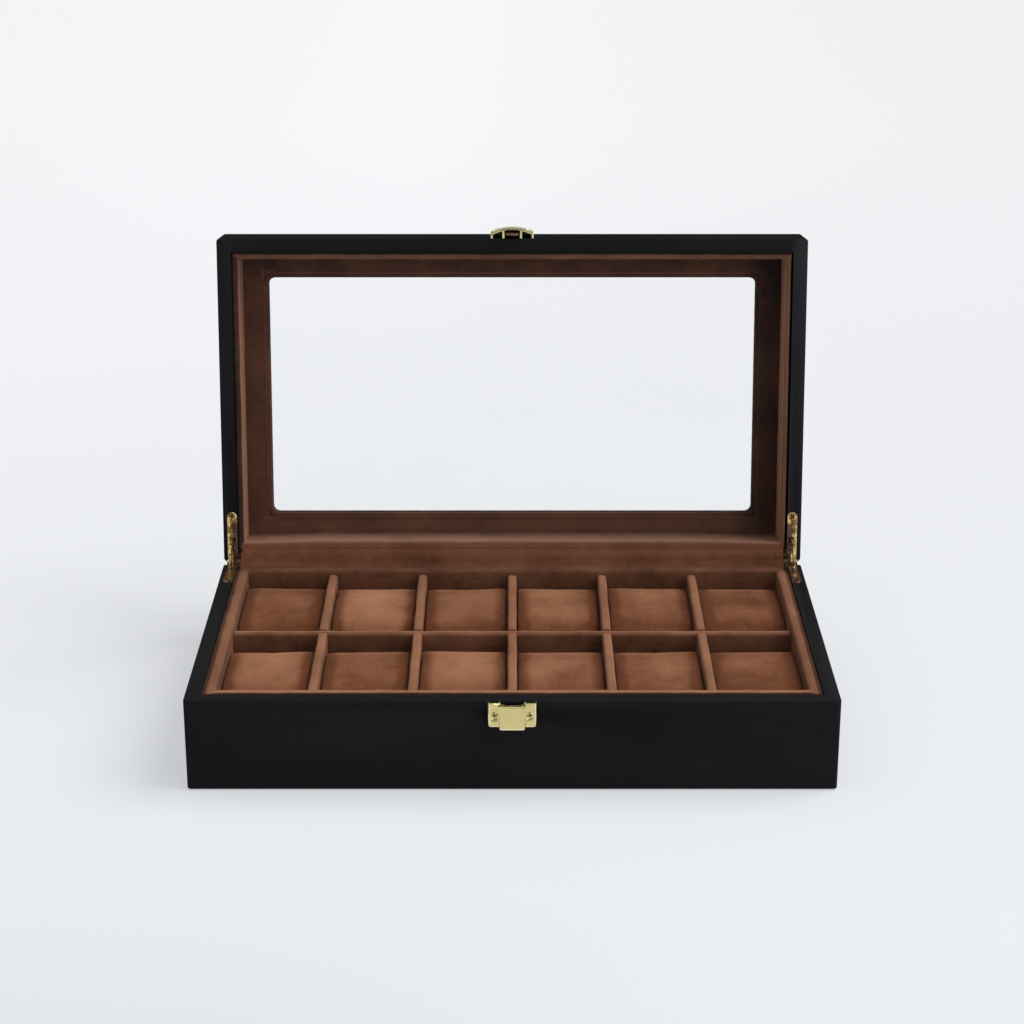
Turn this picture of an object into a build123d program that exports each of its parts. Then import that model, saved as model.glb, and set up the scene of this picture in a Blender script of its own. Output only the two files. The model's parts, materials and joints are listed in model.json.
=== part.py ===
"""A display box with a windowed lid, twelve pillows, stay hinges and a push latch.

Millimetres, +Z up, the front faces -Y and +X is to the right. The origin is the centre of the
underside. The lid is modelled closed and then turned about the hinge axis to its open rest pose.
"""

import os

from build123d import *

# ---- driving dimensions -------------------------------------------------------------------------

box_length = 336.0
box_depth = 188.5
base_height = 50.8
lid_height = 31.0
rim_gap = 0.5  # between the closed rims
open_angle = 99.0
wall = 8.0
corner_radius = 2.0  # the upright corners
rim_bevel = 0.5  # where the base and the lid meet
bottom_edge_bevel = 0.5
top_edge_radius = 1.5

felt_thickness = 0.5
felt_inset = 3.0
bottom_thickness = 4.0
bottom_rabbet = 4.0  # how far the bottom panel reaches under the walls
floor_thickness = 1.5

tray_side_gap = 2.2  # between the side walls and the liners beside them
base_liner_thickness = 5.3
base_liner_rounding = 2.5
base_liner_proud = 0.6  # above the rim
divider_thickness = 5.0
divider_rounding = 2.4
divider_drop = 2.7  # the long divider's top below the rim
cross_divider_drop = 1.6
notch_clearance = 0.15
columns = 6

pillow_slack = 6.4  # a place is longer than its pillow by this much
pillow_side_clearance = 0.5
pillow_end_clearance = 0.4
pillow_floor_clearance = 0.3
pillow_top_drop = 5.2  # the crown of a pillow below the rim
pillow_crown_rise = 2.4  # how much the top is arched, front to back
pillow_end_radius = 12.0  # the upper edges at the front and the back
pillow_foot_radius = 4.0

lid_panel_thickness = 4.0
window_length = 282.6
window_width = 139.0
window_radius = 4.0
glass_thickness = 2.0
glass_margin = 4.0  # how far the glass reaches past the opening
glass_clearance = 0.3
mat_thickness = 1.8
mat_lip_width = 3.0
mat_lip_height = 0.8
lid_liner_gap = 1.6  # between the lid's walls and its liners
lid_liner_thickness = 2.4
lid_liner_rounding = 1.1
lid_liner_recess = 0.9  # behind the lid's rim

strip_thickness = 0.6
strip_end_gap = 1.4  # from the strip to the hinge barrels, past the pin's head

leaf_length = 30.0
leaf_width = 5.6
leaf_thickness = 1.6
leaf_edge_offset = 2.4  # from the side of the box
leaf_seat_clearance = 0.1
barrel_radius = 2.5
barrel_relief = 0.3
barrel_length = 8.0
barrel_overhang = 2.0  # past the leaf, towards the middle of the box
knuckle_gap = 0.2
foot_length = 5.0  # the wide foot of a leaf, beside the barrel
pin_radius = 1.0
pin_seat_clearance = 0.02
pin_running_clearance = 0.05
pin_head_radius = 1.4
pin_head_thickness = 0.6

stay_radius = 13.4  # from the hinge axis to the middle of the stay
stay_depth = 2.0  # across the curve
stay_thickness = 1.6
stay_head_width = 3.2
stay_head_angle = 13.5  # how far a head lies past the rim when the lid is open
stay_pocket_run = 8.0  # how far the pocket goes on past a head, in degrees
stay_clearance = 0.3
stay_pocket_clearance = 0.5

hinge_screw_far = 27.2  # from the hinge axis
hinge_screw_near = 7.6
hinge_screw_head_far = 2.3
hinge_screw_head_near = 1.6
hinge_screw_shank = 1.1
hinge_screw_length_far = 9.0
hinge_screw_length_near = 5.5
screw_clearance = 0.05

lock_length = 24.6
lock_height = 13.3
lock_thickness = 3.0
lock_skin = 1.0
lock_rib = 0.9
lock_tab_width = 13.0
lock_tab_height = 13.8
lock_corner_radius = 1.4
lock_top_gap = 0.2  # below the rim
lock_bevel = 0.4
lock_screw_spacing = 18.2
lock_screw_drop = 6.4  # below the top of the lock plate
lock_screw_head = 1.8
lock_screw_shank = 0.9
lock_screw_length = 8.0
lock_boss_radius = 2.5
button_width = 13.4
button_height = 13.4
button_drop = 0.8  # its top below the rim
button_proud = 6.0
button_travel = 1.5
button_stop_gap = 0.2
button_bevel = 0.6
button_corner_radius = 1.2  # its lower corners
button_body_width = 11.6
button_body_height = 11.4
button_clearance = 0.3
button_reach = 1.8  # how far its body stands in the wood
slot_wall = 1.1
slot_width = 9.6
slot_depth = 3.2
slot_height = 7.4  # below the top of the button
catch_width = 7.4
channel_depth = 2.4  # beside the catch
nose_width = 3.4
nose_height = 1.2
nose_reach = 1.1
nose_tip = 0.5
pocket_floor = 1.8  # wood left behind the pocket
pocket_roof = 1.6  # wood left above it
spring_width = 5.0
spring_strip = 0.4
spring_span = 9.0

keeper_length = 24.4
keeper_height = 12.0
keeper_proud = 5.9  # in the middle
keeper_end_proud = 3.3
keeper_skin = 1.1
keeper_arch_width = 8.8
keeper_rib = 1.2
keeper_seat = 3.3  # from the wood to the heads of its screws
tongue_width = 7.0
tongue_thickness = 0.9
tongue_length = 6.4
tongue_front_gap = 1.8  # from the button's front wall
tongue_window_width = 4.4
tongue_window_height = 2.2
tongue_window_drop = 1.4  # from the foot of the tongue to its window

# ---- places worked out from them ----------------------------------------------------------------

half_length = box_length / 2
half_depth = box_depth / 2
rim = base_height
lid_rim = base_height + rim_gap
lid_top = lid_rim + lid_height
panel_bottom = lid_top - lid_panel_thickness
mat_bottom = panel_bottom - mat_thickness

inner_x = half_length - wall
inner_y = half_depth - wall
bottom_top = felt_thickness + bottom_thickness
floor_top = bottom_top + floor_thickness

tray_x = inner_x - tray_side_gap
place_x = tray_x - base_liner_thickness
place_y = inner_y - base_liner_thickness
place_length = (2 * place_x - (columns - 1) * divider_thickness) / columns
place_pitch = place_length + divider_thickness
place_depth = (2 * place_y - divider_thickness) / 2
pillow_depth = place_depth - pillow_slack
row_shift = pillow_slack / 2 - pillow_end_clearance  # pillows lie at the outer ends
row_centre = (place_y + divider_thickness / 2) / 2 + row_shift

hinge_y = half_depth
hinge_z = rim + rim_gap / 2
leaf_x = half_length - leaf_edge_offset - leaf_width / 2  # the middle of a leaf
barrel_end = leaf_x - leaf_width / 2 - barrel_overhang
strip_x = barrel_end - strip_end_gap

# ---- small shape helpers ------------------------------------------------------------------------


def block(x0, x1, y0, y1, z0, z1):
    """A box between two corners."""
    middle = ((x0 + x1) / 2, (y0 + y1) / 2, (z0 + z1) / 2)
    return Pos(*middle) * Box(abs(x1 - x0), abs(y1 - y0), abs(z1 - z0))


def edges_near(solid, axis, value, tolerance=0.01):
    """The edges that lie wholly at one value along an axis."""
    return solid.edges().filter_by_position(axis, value - tolerance, value + tolerance)


def rod_x(x0, x1, y, z, radius):
    """A round bar along X."""
    return Pos((x0 + x1) / 2, y, z) * Rot(Y=90) * Cylinder(radius, abs(x1 - x0))


def mirrored(solid):
    """The same solid on the other side of the box."""
    return mirror(solid, about=Plane.YZ)


def about_hinge(solid, angle):
    """Turn a solid about the hinge axis; a positive angle opens the lid."""
    there = Location((0, hinge_y, hinge_z))
    back = Location((0, -hinge_y, -hinge_z))
    return there * Rot(X=-angle) * back * solid


def opened(solid):
    """A lid solid, modelled closed, in the open rest pose."""
    return about_hinge(solid, open_angle)


# ---- wooden walls -------------------------------------------------------------------------------


def ring(z0, z1):
    """An upright tube with the outline of the box and the wall's thickness."""
    outer = block(-half_length, half_length, -half_depth, half_depth, z0, z1)
    outer = fillet(outer.edges().filter_by(Axis.Z), corner_radius)
    return outer, block(-inner_x, inner_x, -inner_y, inner_y, z0 - 1, z1 + 1)


def wedge(side, corner_x, corner_y, z0, z1):
    """The part of the plan that belongs to one side, bounded by mitres from the corners."""
    if side in ("front", "rear"):
        points = [(-corner_x, -corner_y), (corner_x, -corner_y), (corner_x - corner_y, 0), (corner_y - corner_x, 0)]
        flip = -1 if side == "rear" else 1
        points = [(x, y * flip) for x, y in points]
    else:
        points = [(corner_x, -corner_y), (corner_x, corner_y), (corner_x - corner_y, 0)]
        flip = -1 if side == "left" else 1
        points = [(x * flip, y) for x, y in points]
    outline = make_face(Polyline(*points, close=True))
    return extrude(Pos(0, 0, z0) * outline, z1 - z0)


def mitred(frame, corner_x, corner_y, z0, z1):
    """The four mitred sides that a frame is made of."""
    return {side: frame & wedge(side, corner_x, corner_y, z0, z1) for side in ("front", "rear", "left", "right")}


# ---- hinges, right side, closed -----------------------------------------------------------------


def on_arc(radius, angle):
    """A point at a distance from the hinge axis; 0 degrees is towards the front, 90 is up."""
    turned = Vector(0, -radius, 0).rotate(Axis.X, -angle)
    return Vector(0, hinge_y, hinge_z) + turned


def arc_bar(inner, outer, low, high, x0, x1):
    """A bar of square section bent about the hinge axis."""
    middle = (low + high) / 2
    edges = [
        ThreePointArc(on_arc(outer, low), on_arc(outer, middle), on_arc(outer, high)),
        Line(on_arc(outer, high), on_arc(inner, high)),
        ThreePointArc(on_arc(inner, high), on_arc(inner, middle), on_arc(inner, low)),
        Line(on_arc(inner, low), on_arc(outer, low)),
    ]
    face = make_face(edges)
    return Pos(x0, 0, 0) * extrude(face, x1 - x0, dir=(1, 0, 0))


stay_reach = open_angle / 2 + stay_head_angle  # each way from the stay's middle


def stay():
    """The curved stay, about the direction to the front, with a cross head at each end."""
    inner = stay_radius - stay_depth / 2
    outer = stay_radius + stay_depth / 2
    half = stay_thickness / 2
    body = arc_bar(inner, outer, -stay_reach, stay_reach, leaf_x - half, leaf_x + half)
    for end in (-stay_reach, stay_reach):
        place = on_arc(stay_radius, end)
        head = stay_head_width / 2
        body += rod_x(leaf_x - head, leaf_x + head, place.Y, place.Z, stay_depth / 2)
    return body


def stay_pocket():
    """The room that the stay sweeps through in a side wall of the base and of the lid."""
    reach = stay_reach + stay_pocket_run
    inner = stay_radius - stay_depth / 2 - stay_pocket_clearance
    outer = stay_radius + stay_depth / 2 + stay_pocket_clearance
    half = stay_head_width / 2 + stay_clearance
    return arc_bar(inner, outer, -reach, reach, leaf_x - half, leaf_x + half)


def stay_slot():
    """The slot for the stay through both leaves."""
    inner = stay_radius - stay_depth / 2 - stay_clearance
    outer = stay_radius + stay_depth / 2 + stay_clearance
    half = stay_thickness / 2 + stay_clearance
    return arc_bar(inner, outer, -20, 20, leaf_x - half, leaf_x + half)


def knuckles(first):
    """The X spans of the base leaf's two knuckles, or of the lid leaf's one."""
    third = (barrel_length - 2 * knuckle_gap) / 3
    starts = [barrel_end + n * (third + knuckle_gap) for n in range(3)]
    chosen = (starts[0], starts[2]) if first else (starts[1],)
    return [(x, x + third) for x in chosen]


def leaf_outline(grow, upper):
    """A leaf's plate: a strip with a round end and a wide foot, grown by a clearance."""
    near = rim_gap / 2
    far = near + leaf_thickness
    z0, z1 = (hinge_z + near, hinge_z + far) if upper else (hinge_z - far, hinge_z - near)
    half = leaf_width / 2 + grow
    tip = hinge_y - leaf_length
    strip = block(leaf_x - half, leaf_x + half, tip + leaf_width / 2, hinge_y, z0, z1)
    cap = Pos(leaf_x, tip + leaf_width / 2, (z0 + z1) / 2) * Cylinder(half, z1 - z0)
    foot = block(barrel_end - grow, leaf_x + half, hinge_y - foot_length - grow, hinge_y, z0, z1)
    return strip + cap + foot


def hinge_leaf(upper):
    """One leaf with its knuckles, slot and screw holes."""
    plate = leaf_outline(0, upper)
    for x0, x1 in knuckles(upper):
        plate -= rod_x(x0 - knuckle_gap, x1 + knuckle_gap, hinge_y, hinge_z, barrel_radius + barrel_relief)
    plate -= rod_x(barrel_end + barrel_length, half_length, hinge_y, hinge_z, barrel_radius)
    clearance = pin_running_clearance if upper else pin_seat_clearance
    for x0, x1 in knuckles(not upper):
        plate += rod_x(x0, x1, hinge_y, hinge_z, barrel_radius)
    plate -= rod_x(barrel_end - 1, half_length, hinge_y, hinge_z, pin_radius + clearance)
    plate -= stay_slot()
    for hole in hinge_screw_shapes(upper, screw_clearance):
        plate -= hole
    return plate


def hinge_pin():
    """The pin through the knuckles, with a thin head at its inner end."""
    pin = rod_x(barrel_end, barrel_end + barrel_length, hinge_y, hinge_z, pin_radius)
    return pin + rod_x(barrel_end - pin_head_thickness, barrel_end, hinge_y, hinge_z, pin_head_radius)


def barrel_room():
    """What the wood gives up round the barrel and its pin."""
    x0 = barrel_end - pin_head_thickness - barrel_relief
    return rod_x(x0, half_length + 1, hinge_y, hinge_z, barrel_radius + barrel_relief)


# ---- screws -------------------------------------------------------------------------------------


def screw(head_radius, shank_radius, length, clearance=0.0):
    """A countersunk screw, or the hole for it, with its head's top at Z 0 and its shank towards -Z."""
    head_depth = head_radius - shank_radius
    head = Pos(0, 0, -head_depth / 2) * Cone(shank_radius + clearance, head_radius + clearance, head_depth)
    return head + Pos(0, 0, -length / 2) * Cylinder(shank_radius + clearance, length)


def hinge_screw_shapes(upper, clearance=0.0):
    """The two screws of one leaf, on the right side, or the holes for them."""
    shapes = []
    sizes = (
        (hinge_screw_far, hinge_screw_head_far, hinge_screw_length_far),
        (hinge_screw_near, hinge_screw_head_near, hinge_screw_length_near),
    )
    for reach, head, length in sizes:
        shape = screw(head, hinge_screw_shank, length, clearance)
        if upper:
            shape = Rot(X=180) * shape
        offset = rim_gap / 2 if upper else -rim_gap / 2
        shapes.append(Pos(leaf_x, hinge_y - reach, hinge_z + offset) * shape)
    return shapes


def front_screw_shapes(z, proud, clearance=0.0):
    """Two screws into the front face, side by side."""
    shapes = []
    for x in (-lock_screw_spacing / 2, lock_screw_spacing / 2):
        shape = screw(lock_screw_head, lock_screw_shank, lock_screw_length, clearance)
        shapes.append(Pos(x, -half_depth - proud, z) * Rot(X=90) * shape)
    return shapes


# ---- push latch ---------------------------------------------------------------------------------

front = -half_depth
lock_top = rim - lock_top_gap
button_top = rim - button_drop
button_face = front - button_proud
button_back = front - lock_thickness - button_travel - button_stop_gap  # of its wide front
body_bottom = button_top - button_height + (button_height - button_body_height) / 2
slot_front = button_face + slot_wall
slot_back = slot_front + slot_depth
tongue_front = slot_front + tongue_front_gap
tongue_back = tongue_front + tongue_thickness
tongue_bottom = lid_rim - tongue_length - rim_gap
tongue_window = tongue_bottom + tongue_window_drop
pocket_back = front + wall - pocket_floor
lock_screw_z = lock_top - lock_screw_drop
keeper_bottom = lid_rim + lock_top_gap
keeper_screw_z = keeper_bottom + keeper_height / 2


def lock_plate():
    """A hollow casting with two wings, open in the middle for the button."""
    y0, y1 = front - lock_thickness, front
    wings = block(-lock_length / 2, lock_length / 2, y0, y1, lock_top - lock_height, lock_top)
    low = lock_top - lock_tab_height
    tab = block(-lock_tab_width / 2, lock_tab_width / 2, y0, y1, low, lock_top)
    plate = wings + tab
    corners = edges_near(plate, Axis.X, lock_length / 2) + edges_near(plate, Axis.X, -lock_length / 2)
    lower = corners.filter_by(Axis.Y).filter_by_position(Axis.Z, low - 1, lock_top - 1)
    plate = fillet(lower, lock_corner_radius)
    half = button_body_width / 2 + button_clearance
    bottom = body_bottom - button_clearance
    plate = chamfer(edges_near(plate, Axis.Y, y0), lock_bevel)
    plate -= block(-half, half, y0 - 1, y1 + 1, bottom, lock_top + 1)
    hollow = block(
        half + lock_rib, lock_length / 2 - lock_rib, y0 + lock_skin, y1 + 1, wings_bottom() + lock_rib, lock_top + 1
    )
    boss = Pos(lock_screw_spacing / 2, front, lock_screw_z) * Rot(X=90) * Cylinder(lock_boss_radius, 4 * lock_thickness)
    hollow -= boss
    plate -= hollow
    plate -= mirrored(hollow)
    for hole in front_screw_shapes(lock_screw_z, lock_thickness, screw_clearance):
        plate -= hole
    return plate


def wings_bottom():
    """The lower edge of the lock plate's wings."""
    return lock_top - lock_height


def lock_pocket():
    """The room in the front wall for the button's body and its spring."""
    half = button_body_width / 2 + button_clearance
    return block(-half, half, front - 1, pocket_back, body_bottom - button_clearance, rim - pocket_roof)


def push_button():
    """The button: a wide front, a body that runs in the pocket, and the catch with its nose."""
    half = button_width / 2
    face = block(-half, half, button_face, button_back, button_top - button_height, button_top)
    sides = edges_near(face, Axis.X, half) + edges_near(face, Axis.X, -half)
    lower = sides.filter_by(Axis.Y).sort_by(Axis.Z)[:2]
    face = fillet(lower, button_corner_radius)
    face = chamfer(edges_near(face, Axis.Y, button_face), button_bevel)
    half_body = button_body_width / 2
    body = block(-half_body, half_body, button_back, slot_back, body_bottom, button_top)
    tail_top = rim - pocket_roof - button_clearance
    tail = block(-half_body, half_body, slot_back, front + button_reach, body_bottom, tail_top)
    button = face + body + tail
    slot_low = button_top - slot_height
    button -= block(-slot_width / 2, slot_width / 2, slot_front, slot_back, slot_low, button_top + 1)
    channels = block(-slot_width / 2, slot_width / 2, slot_back, front, tail_top - channel_depth, tail_top + 1)
    button -= channels - block(-catch_width / 2, catch_width / 2, slot_back - 1, front + 1, 0, tail_top + 2)
    nose_low = tongue_window + (tongue_window_height - nose_height) / 2
    corners = [(0, nose_low), (-nose_reach, nose_low), (-nose_tip, nose_low + nose_tip), (0, nose_low + nose_height)]
    points = [(-nose_width / 2, slot_back + y, z) for y, z in corners]
    return button + extrude(make_face(Polyline(*points, close=True)), nose_width, dir=(1, 0, 0))


def lock_spring():
    """A bowed leaf spring between the pocket's floor and the button."""
    z = body_bottom + button_body_height / 2
    back = pocket_back
    near = front + button_reach
    ends = [(-spring_span / 2, back), (0, near + spring_strip), (spring_span / 2, back)]
    bows = [(-spring_span / 2, back - spring_strip), (0, near), (spring_span / 2, back - spring_strip)]
    edges = [
        ThreePointArc(*ends),
        Line(ends[2], bows[2]),
        ThreePointArc(*bows[::-1]),
        Line(bows[0], ends[0]),
    ]
    strip = make_face(edges)
    return Pos(0, 0, z - spring_width / 2) * extrude(strip, spring_width)


def dome(half, ends, middle, z0, z1):
    """A block on the lid's front face with an arched outer surface."""
    outline = [
        Line((-half, front), (half, front)),
        Line((half, front), (half, front - ends)),
        ThreePointArc((half, front - ends), (0, front - middle), (-half, front - ends)),
        Line((-half, front - ends), (-half, front)),
    ]
    return Pos(0, 0, z0) * extrude(make_face(outline), z1 - z0)


def keeper():
    """The lid's half of the latch: a hollow arched casting and the tongue with its window."""
    top = keeper_bottom + keeper_height
    half = keeper_length / 2
    casting = dome(half, keeper_end_proud, keeper_proud, keeper_bottom, top)
    hollow = dome(
        half - keeper_skin, keeper_end_proud - keeper_skin, keeper_proud - keeper_skin, keeper_bottom - 1,
        top - keeper_skin,
    )
    inner, outer = keeper_arch_width / 2, keeper_arch_width / 2 + keeper_rib
    rib = block(inner, outer, front - keeper_proud, front, keeper_bottom, top)
    boss = Pos(lock_screw_spacing / 2, front, keeper_screw_z) * Rot(X=90) * Cylinder(lock_boss_radius, 4 * keeper_proud)
    hollow -= rib + boss
    hollow -= mirrored(rib + boss)
    casting -= hollow
    for x in (-lock_screw_spacing / 2, lock_screw_spacing / 2):
        seat = Pos(x, front - keeper_seat - keeper_proud / 2, keeper_screw_z) * Rot(X=90)
        casting -= seat * Cylinder(lock_screw_head + screw_clearance, keeper_proud)
    tongue_half = tongue_width / 2
    tongue = block(-tongue_half, tongue_half, tongue_front, tongue_back, tongue_bottom, top - keeper_skin / 2)
    half_window = tongue_window_width / 2
    window_top = tongue_window + tongue_window_height
    tongue -= block(-half_window, half_window, tongue_front - 1, tongue_back + 1, tongue_window, window_top)
    body = casting + tongue
    for hole in front_screw_shapes(keeper_screw_z, keeper_seat, screw_clearance):
        body -= hole
    return body


# ---- base ---------------------------------------------------------------------------------------


def hinge_cuts(upper):
    """What the wood gives up for both hinges, in the base or in the lid."""
    cuts = [leaf_outline(leaf_seat_clearance, upper), barrel_room(), stay_pocket()]
    cuts += hinge_screw_shapes(upper, screw_clearance)
    return cuts + [mirrored(cut) for cut in cuts]


def base_frame():
    """The ring of the base with its rabbets, mortises and pocket."""
    outer, inner = ring(felt_thickness, rim)
    outer = chamfer(edges_near(outer, Axis.Z, felt_thickness), bottom_edge_bevel)
    outer = chamfer(edges_near(outer, Axis.Z, rim), rim_bevel)
    frame = outer - inner
    reach_x = inner_x + bottom_rabbet
    reach_y = inner_y + bottom_rabbet
    frame -= block(-reach_x, reach_x, -reach_y, reach_y, 0, bottom_top)
    frame -= block(-strip_x, strip_x, inner_y - 1, half_depth + 1, rim - strip_thickness, rim + 1)
    frame -= lock_pocket()
    for cut in hinge_cuts(upper=False):
        frame -= cut
    for hole in front_screw_shapes(lock_screw_z, lock_thickness, screw_clearance):
        frame -= hole
    return frame


def lid_frame():
    """The ring of the lid below its top panel, closed."""
    outer, inner = ring(lid_rim, panel_bottom)
    outer = chamfer(edges_near(outer, Axis.Z, lid_rim), rim_bevel)
    frame = outer - inner
    strip_high = lid_rim + strip_thickness
    frame -= block(-strip_x, strip_x, inner_y - 1, half_depth + 1, lid_rim - 1, strip_high)
    for cut in hinge_cuts(upper=True):
        frame -= cut
    for hole in front_screw_shapes(keeper_screw_z, keeper_seat, screw_clearance):
        frame -= hole
    return frame


def window_block(grow, z0, z1):
    """The window's opening, grown all round."""
    shape = block(
        -window_length / 2 - grow,
        window_length / 2 + grow,
        -window_width / 2 - grow,
        window_width / 2 + grow,
        z0,
        z1,
    )
    return fillet(shape.edges().filter_by(Axis.Z), window_radius + grow)


def lid_panel():
    """The top panel, with the opening and the rabbet that holds the glass."""
    outer, _ = ring(panel_bottom, lid_top)
    outer = fillet(edges_near(outer, Axis.Z, lid_top), top_edge_radius)
    panel = outer - window_block(0, panel_bottom - 1, lid_top + 1)
    rabbet = glass_margin + glass_clearance
    x = window_length / 2 + rabbet
    y = window_width / 2 + rabbet
    return panel - block(-x, x, -y, y, panel_bottom - 1, panel_bottom + glass_thickness)


def window_glass():
    """The clear pane, which lies on the mat."""
    x = window_length / 2 + glass_margin
    y = window_width / 2 + glass_margin
    return block(-x, x, -y, y, panel_bottom, panel_bottom + glass_thickness)


def window_mat():
    """The wrapped board round the window, with a raised lip along the opening."""
    board = block(-inner_x, inner_x, -inner_y, inner_y, mat_bottom, panel_bottom)
    board += window_block(mat_lip_width, mat_bottom - mat_lip_height, mat_bottom)
    return board - window_block(0, mat_bottom - mat_lip_height - 1, panel_bottom + 1)


def board_with_round_edges(x0, x1, y0, y1, z0, z1, radius, along):
    """An upright board whose long upper edges are rounded."""
    board = block(x0, x1, y0, y1, z0, z1)
    return fillet(edges_near(board, Axis.Z, z1).filter_by(along), radius)


def lining(x, y, thickness, z0, z1, rounded_z, radius):
    """Four mitred boards, outer half sizes x and y, with both edges rounded at one height."""
    outer = block(-x, x, -y, y, z0, z1)
    inner = block(thickness - x, x - thickness, thickness - y, y - thickness, z0 - 1, z1 + 1)
    tray = outer - inner
    tray = fillet(edges_near(tray, Axis.Z, rounded_z), radius)
    return mitred(tray, x, y, z0 - 1, z1 + 1)


def divider_x(number):
    """The middle of a cross divider, numbered from the left."""
    return (number - columns / 2) * place_pitch


def long_divider():
    """The divider between the rows, notched from above for the cross dividers."""
    half = divider_thickness / 2
    top = rim - divider_drop
    board = board_with_round_edges(-place_x, place_x, -half, half, floor_top, top, divider_rounding, Axis.X)
    middle = (floor_top + top) / 2
    notch = half + notch_clearance
    for number in range(1, columns):
        x = divider_x(number)
        board -= block(x - notch, x + notch, -half - 1, half + 1, middle, top + 1)
    return board


def cross_divider(number):
    """A divider from front to back, notched from below over the long one."""
    half = divider_thickness / 2
    x = divider_x(number)
    top = rim - cross_divider_drop
    board = board_with_round_edges(x - half, x + half, -place_y, place_y, floor_top, top, divider_rounding, Axis.Y)
    middle = (floor_top + rim - divider_drop) / 2
    notch = half + notch_clearance
    return board - block(x - half - 1, x + half + 1, -notch, notch, floor_top - 1, middle)


# ---- pillows ------------------------------------------------------------------------------------


def pillow():
    """A pillow centred on X 0 and Y 0: an arched profile carried across."""
    half_y = pillow_depth / 2
    half_x = place_length / 2 - pillow_side_clearance
    z0 = floor_top + pillow_floor_clearance
    crown = rim - pillow_top_drop
    shoulder = crown - pillow_crown_rise
    side = [
        Line((0, -half_y, z0), (0, half_y, z0)),
        Line((0, half_y, z0), (0, half_y, shoulder)),
        ThreePointArc((0, half_y, shoulder), (0, 0, crown), (0, -half_y, shoulder)),
        Line((0, -half_y, shoulder), (0, -half_y, z0)),
    ]
    body = Pos(-half_x, 0, 0) * extrude(make_face(side), 2 * half_x, dir=(1, 0, 0))
    across = body.edges().filter_by(Axis.X).sort_by(Axis.Z)
    body = fillet(across[2:], pillow_end_radius)
    return fillet(body.edges().filter_by(Axis.X).sort_by(Axis.Z)[:2], pillow_foot_radius)


def pillows():
    """Two rows of pillows, each in its place."""
    model = pillow()
    rows = {"back": row_centre, "front": -row_centre}
    placed = {}
    for row, y in rows.items():
        for column in range(columns):
            x = (column - (columns - 1) / 2) * place_pitch
            placed[f"pillow_{row}_{column + 1}"] = Pos(x, y, 0) * model
    return placed


# ---- assembly -----------------------------------------------------------------------------------


def base_nodes():
    nodes = {}
    for side, solid in mitred(base_frame(), half_length, half_depth, 0, rim + 1).items():
        nodes[f"base_{side}_wall"] = solid
    reach_x = inner_x + bottom_rabbet
    reach_y = inner_y + bottom_rabbet
    nodes["base_bottom_panel"] = block(-reach_x, reach_x, -reach_y, reach_y, felt_thickness, bottom_top)
    felt_x = half_length - felt_inset
    felt_y = half_depth - felt_inset
    nodes["underside_felt"] = block(-felt_x, felt_x, -felt_y, felt_y, 0, felt_thickness)
    nodes["floor_lining"] = block(-inner_x, inner_x, -inner_y, inner_y, bottom_top, floor_top)
    liner_top = rim + base_liner_proud
    liners = lining(tray_x, inner_y, base_liner_thickness, floor_top, liner_top, liner_top, base_liner_rounding)
    for side, solid in liners.items():
        nodes[f"base_{side}_liner"] = solid
    nodes["long_divider"] = long_divider()
    for number in range(1, columns):
        nodes[f"cross_divider_{number}"] = cross_divider(number)
    nodes["hinge_strip_base"] = block(-strip_x, strip_x, inner_y, half_depth, rim - strip_thickness, rim)
    leaf = hinge_leaf(upper=False)
    nodes["right_hinge_base_leaf"] = leaf
    nodes["left_hinge_base_leaf"] = mirrored(leaf)
    pin = hinge_pin()
    nodes["hinge_pins"] = Compound([pin, mirrored(pin)])
    screws = hinge_screw_shapes(upper=False)
    nodes["base_hinge_screws"] = Compound(screws + [mirrored(s) for s in screws])
    nodes["lock_plate"] = lock_plate()
    nodes["lock_spring"] = lock_spring()
    nodes["lock_screws"] = Compound(front_screw_shapes(lock_screw_z, lock_thickness))
    return nodes


def lid_nodes():
    closed = {}
    for side, solid in mitred(lid_frame(), half_length, half_depth, lid_rim - 1, panel_bottom + 1).items():
        closed[f"lid_{side}_wall"] = solid
    closed["lid_top_panel"] = lid_panel()
    closed["window_glass"] = window_glass()
    closed["window_mat"] = window_mat()
    liner_low = lid_rim + lid_liner_recess
    x = inner_x - lid_liner_gap
    y = inner_y - lid_liner_gap
    liners = lining(x, y, lid_liner_thickness, liner_low, mat_bottom, liner_low, lid_liner_rounding)
    for side, solid in liners.items():
        closed[f"lid_{side}_liner"] = solid
    strip_top = lid_rim + strip_thickness
    closed["hinge_strip_lid"] = block(-strip_x, strip_x, inner_y - lid_liner_gap, half_depth, lid_rim, strip_top)
    leaf = hinge_leaf(upper=True)
    closed["right_hinge_lid_leaf"] = leaf
    closed["left_hinge_lid_leaf"] = mirrored(leaf)
    screws = hinge_screw_shapes(upper=True)
    closed["lid_hinge_screws"] = Compound(screws + [mirrored(s) for s in screws])
    closed["keeper"] = keeper()
    closed["keeper_screws"] = Compound(front_screw_shapes(keeper_screw_z, keeper_seat))
    return {name: opened(solid) for name, solid in closed.items()}


def moving_nodes():
    arc = about_hinge(stay(), open_angle / 2)
    nodes = {"right_stay": arc, "left_stay": mirrored(arc), "push_button": push_button()}
    nodes.update(pillows())
    return nodes


def main():
    os.makedirs("parts", exist_ok=True)
    nodes = {**base_nodes(), **lid_nodes(), **moving_nodes()}
    for name, solid in nodes.items():
        export_step(solid, f"parts/{name}.step")
    print(len(nodes), "nodes")


main()
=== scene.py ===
# %% [markdown]
# # A display box for twelve watches
#
# The box is black lacquered wood, lined in brown suede, with a window in its lid. The packed
# CAD model gives the wood, the glass and the metal. This lesson adds what CAD does badly: the
# soft pillows and linings, the nap of the suede, the eased edges of the wood and the shine of
# the brass. Every cell is one step, and each step prints what it made.

import json
import math

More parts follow.
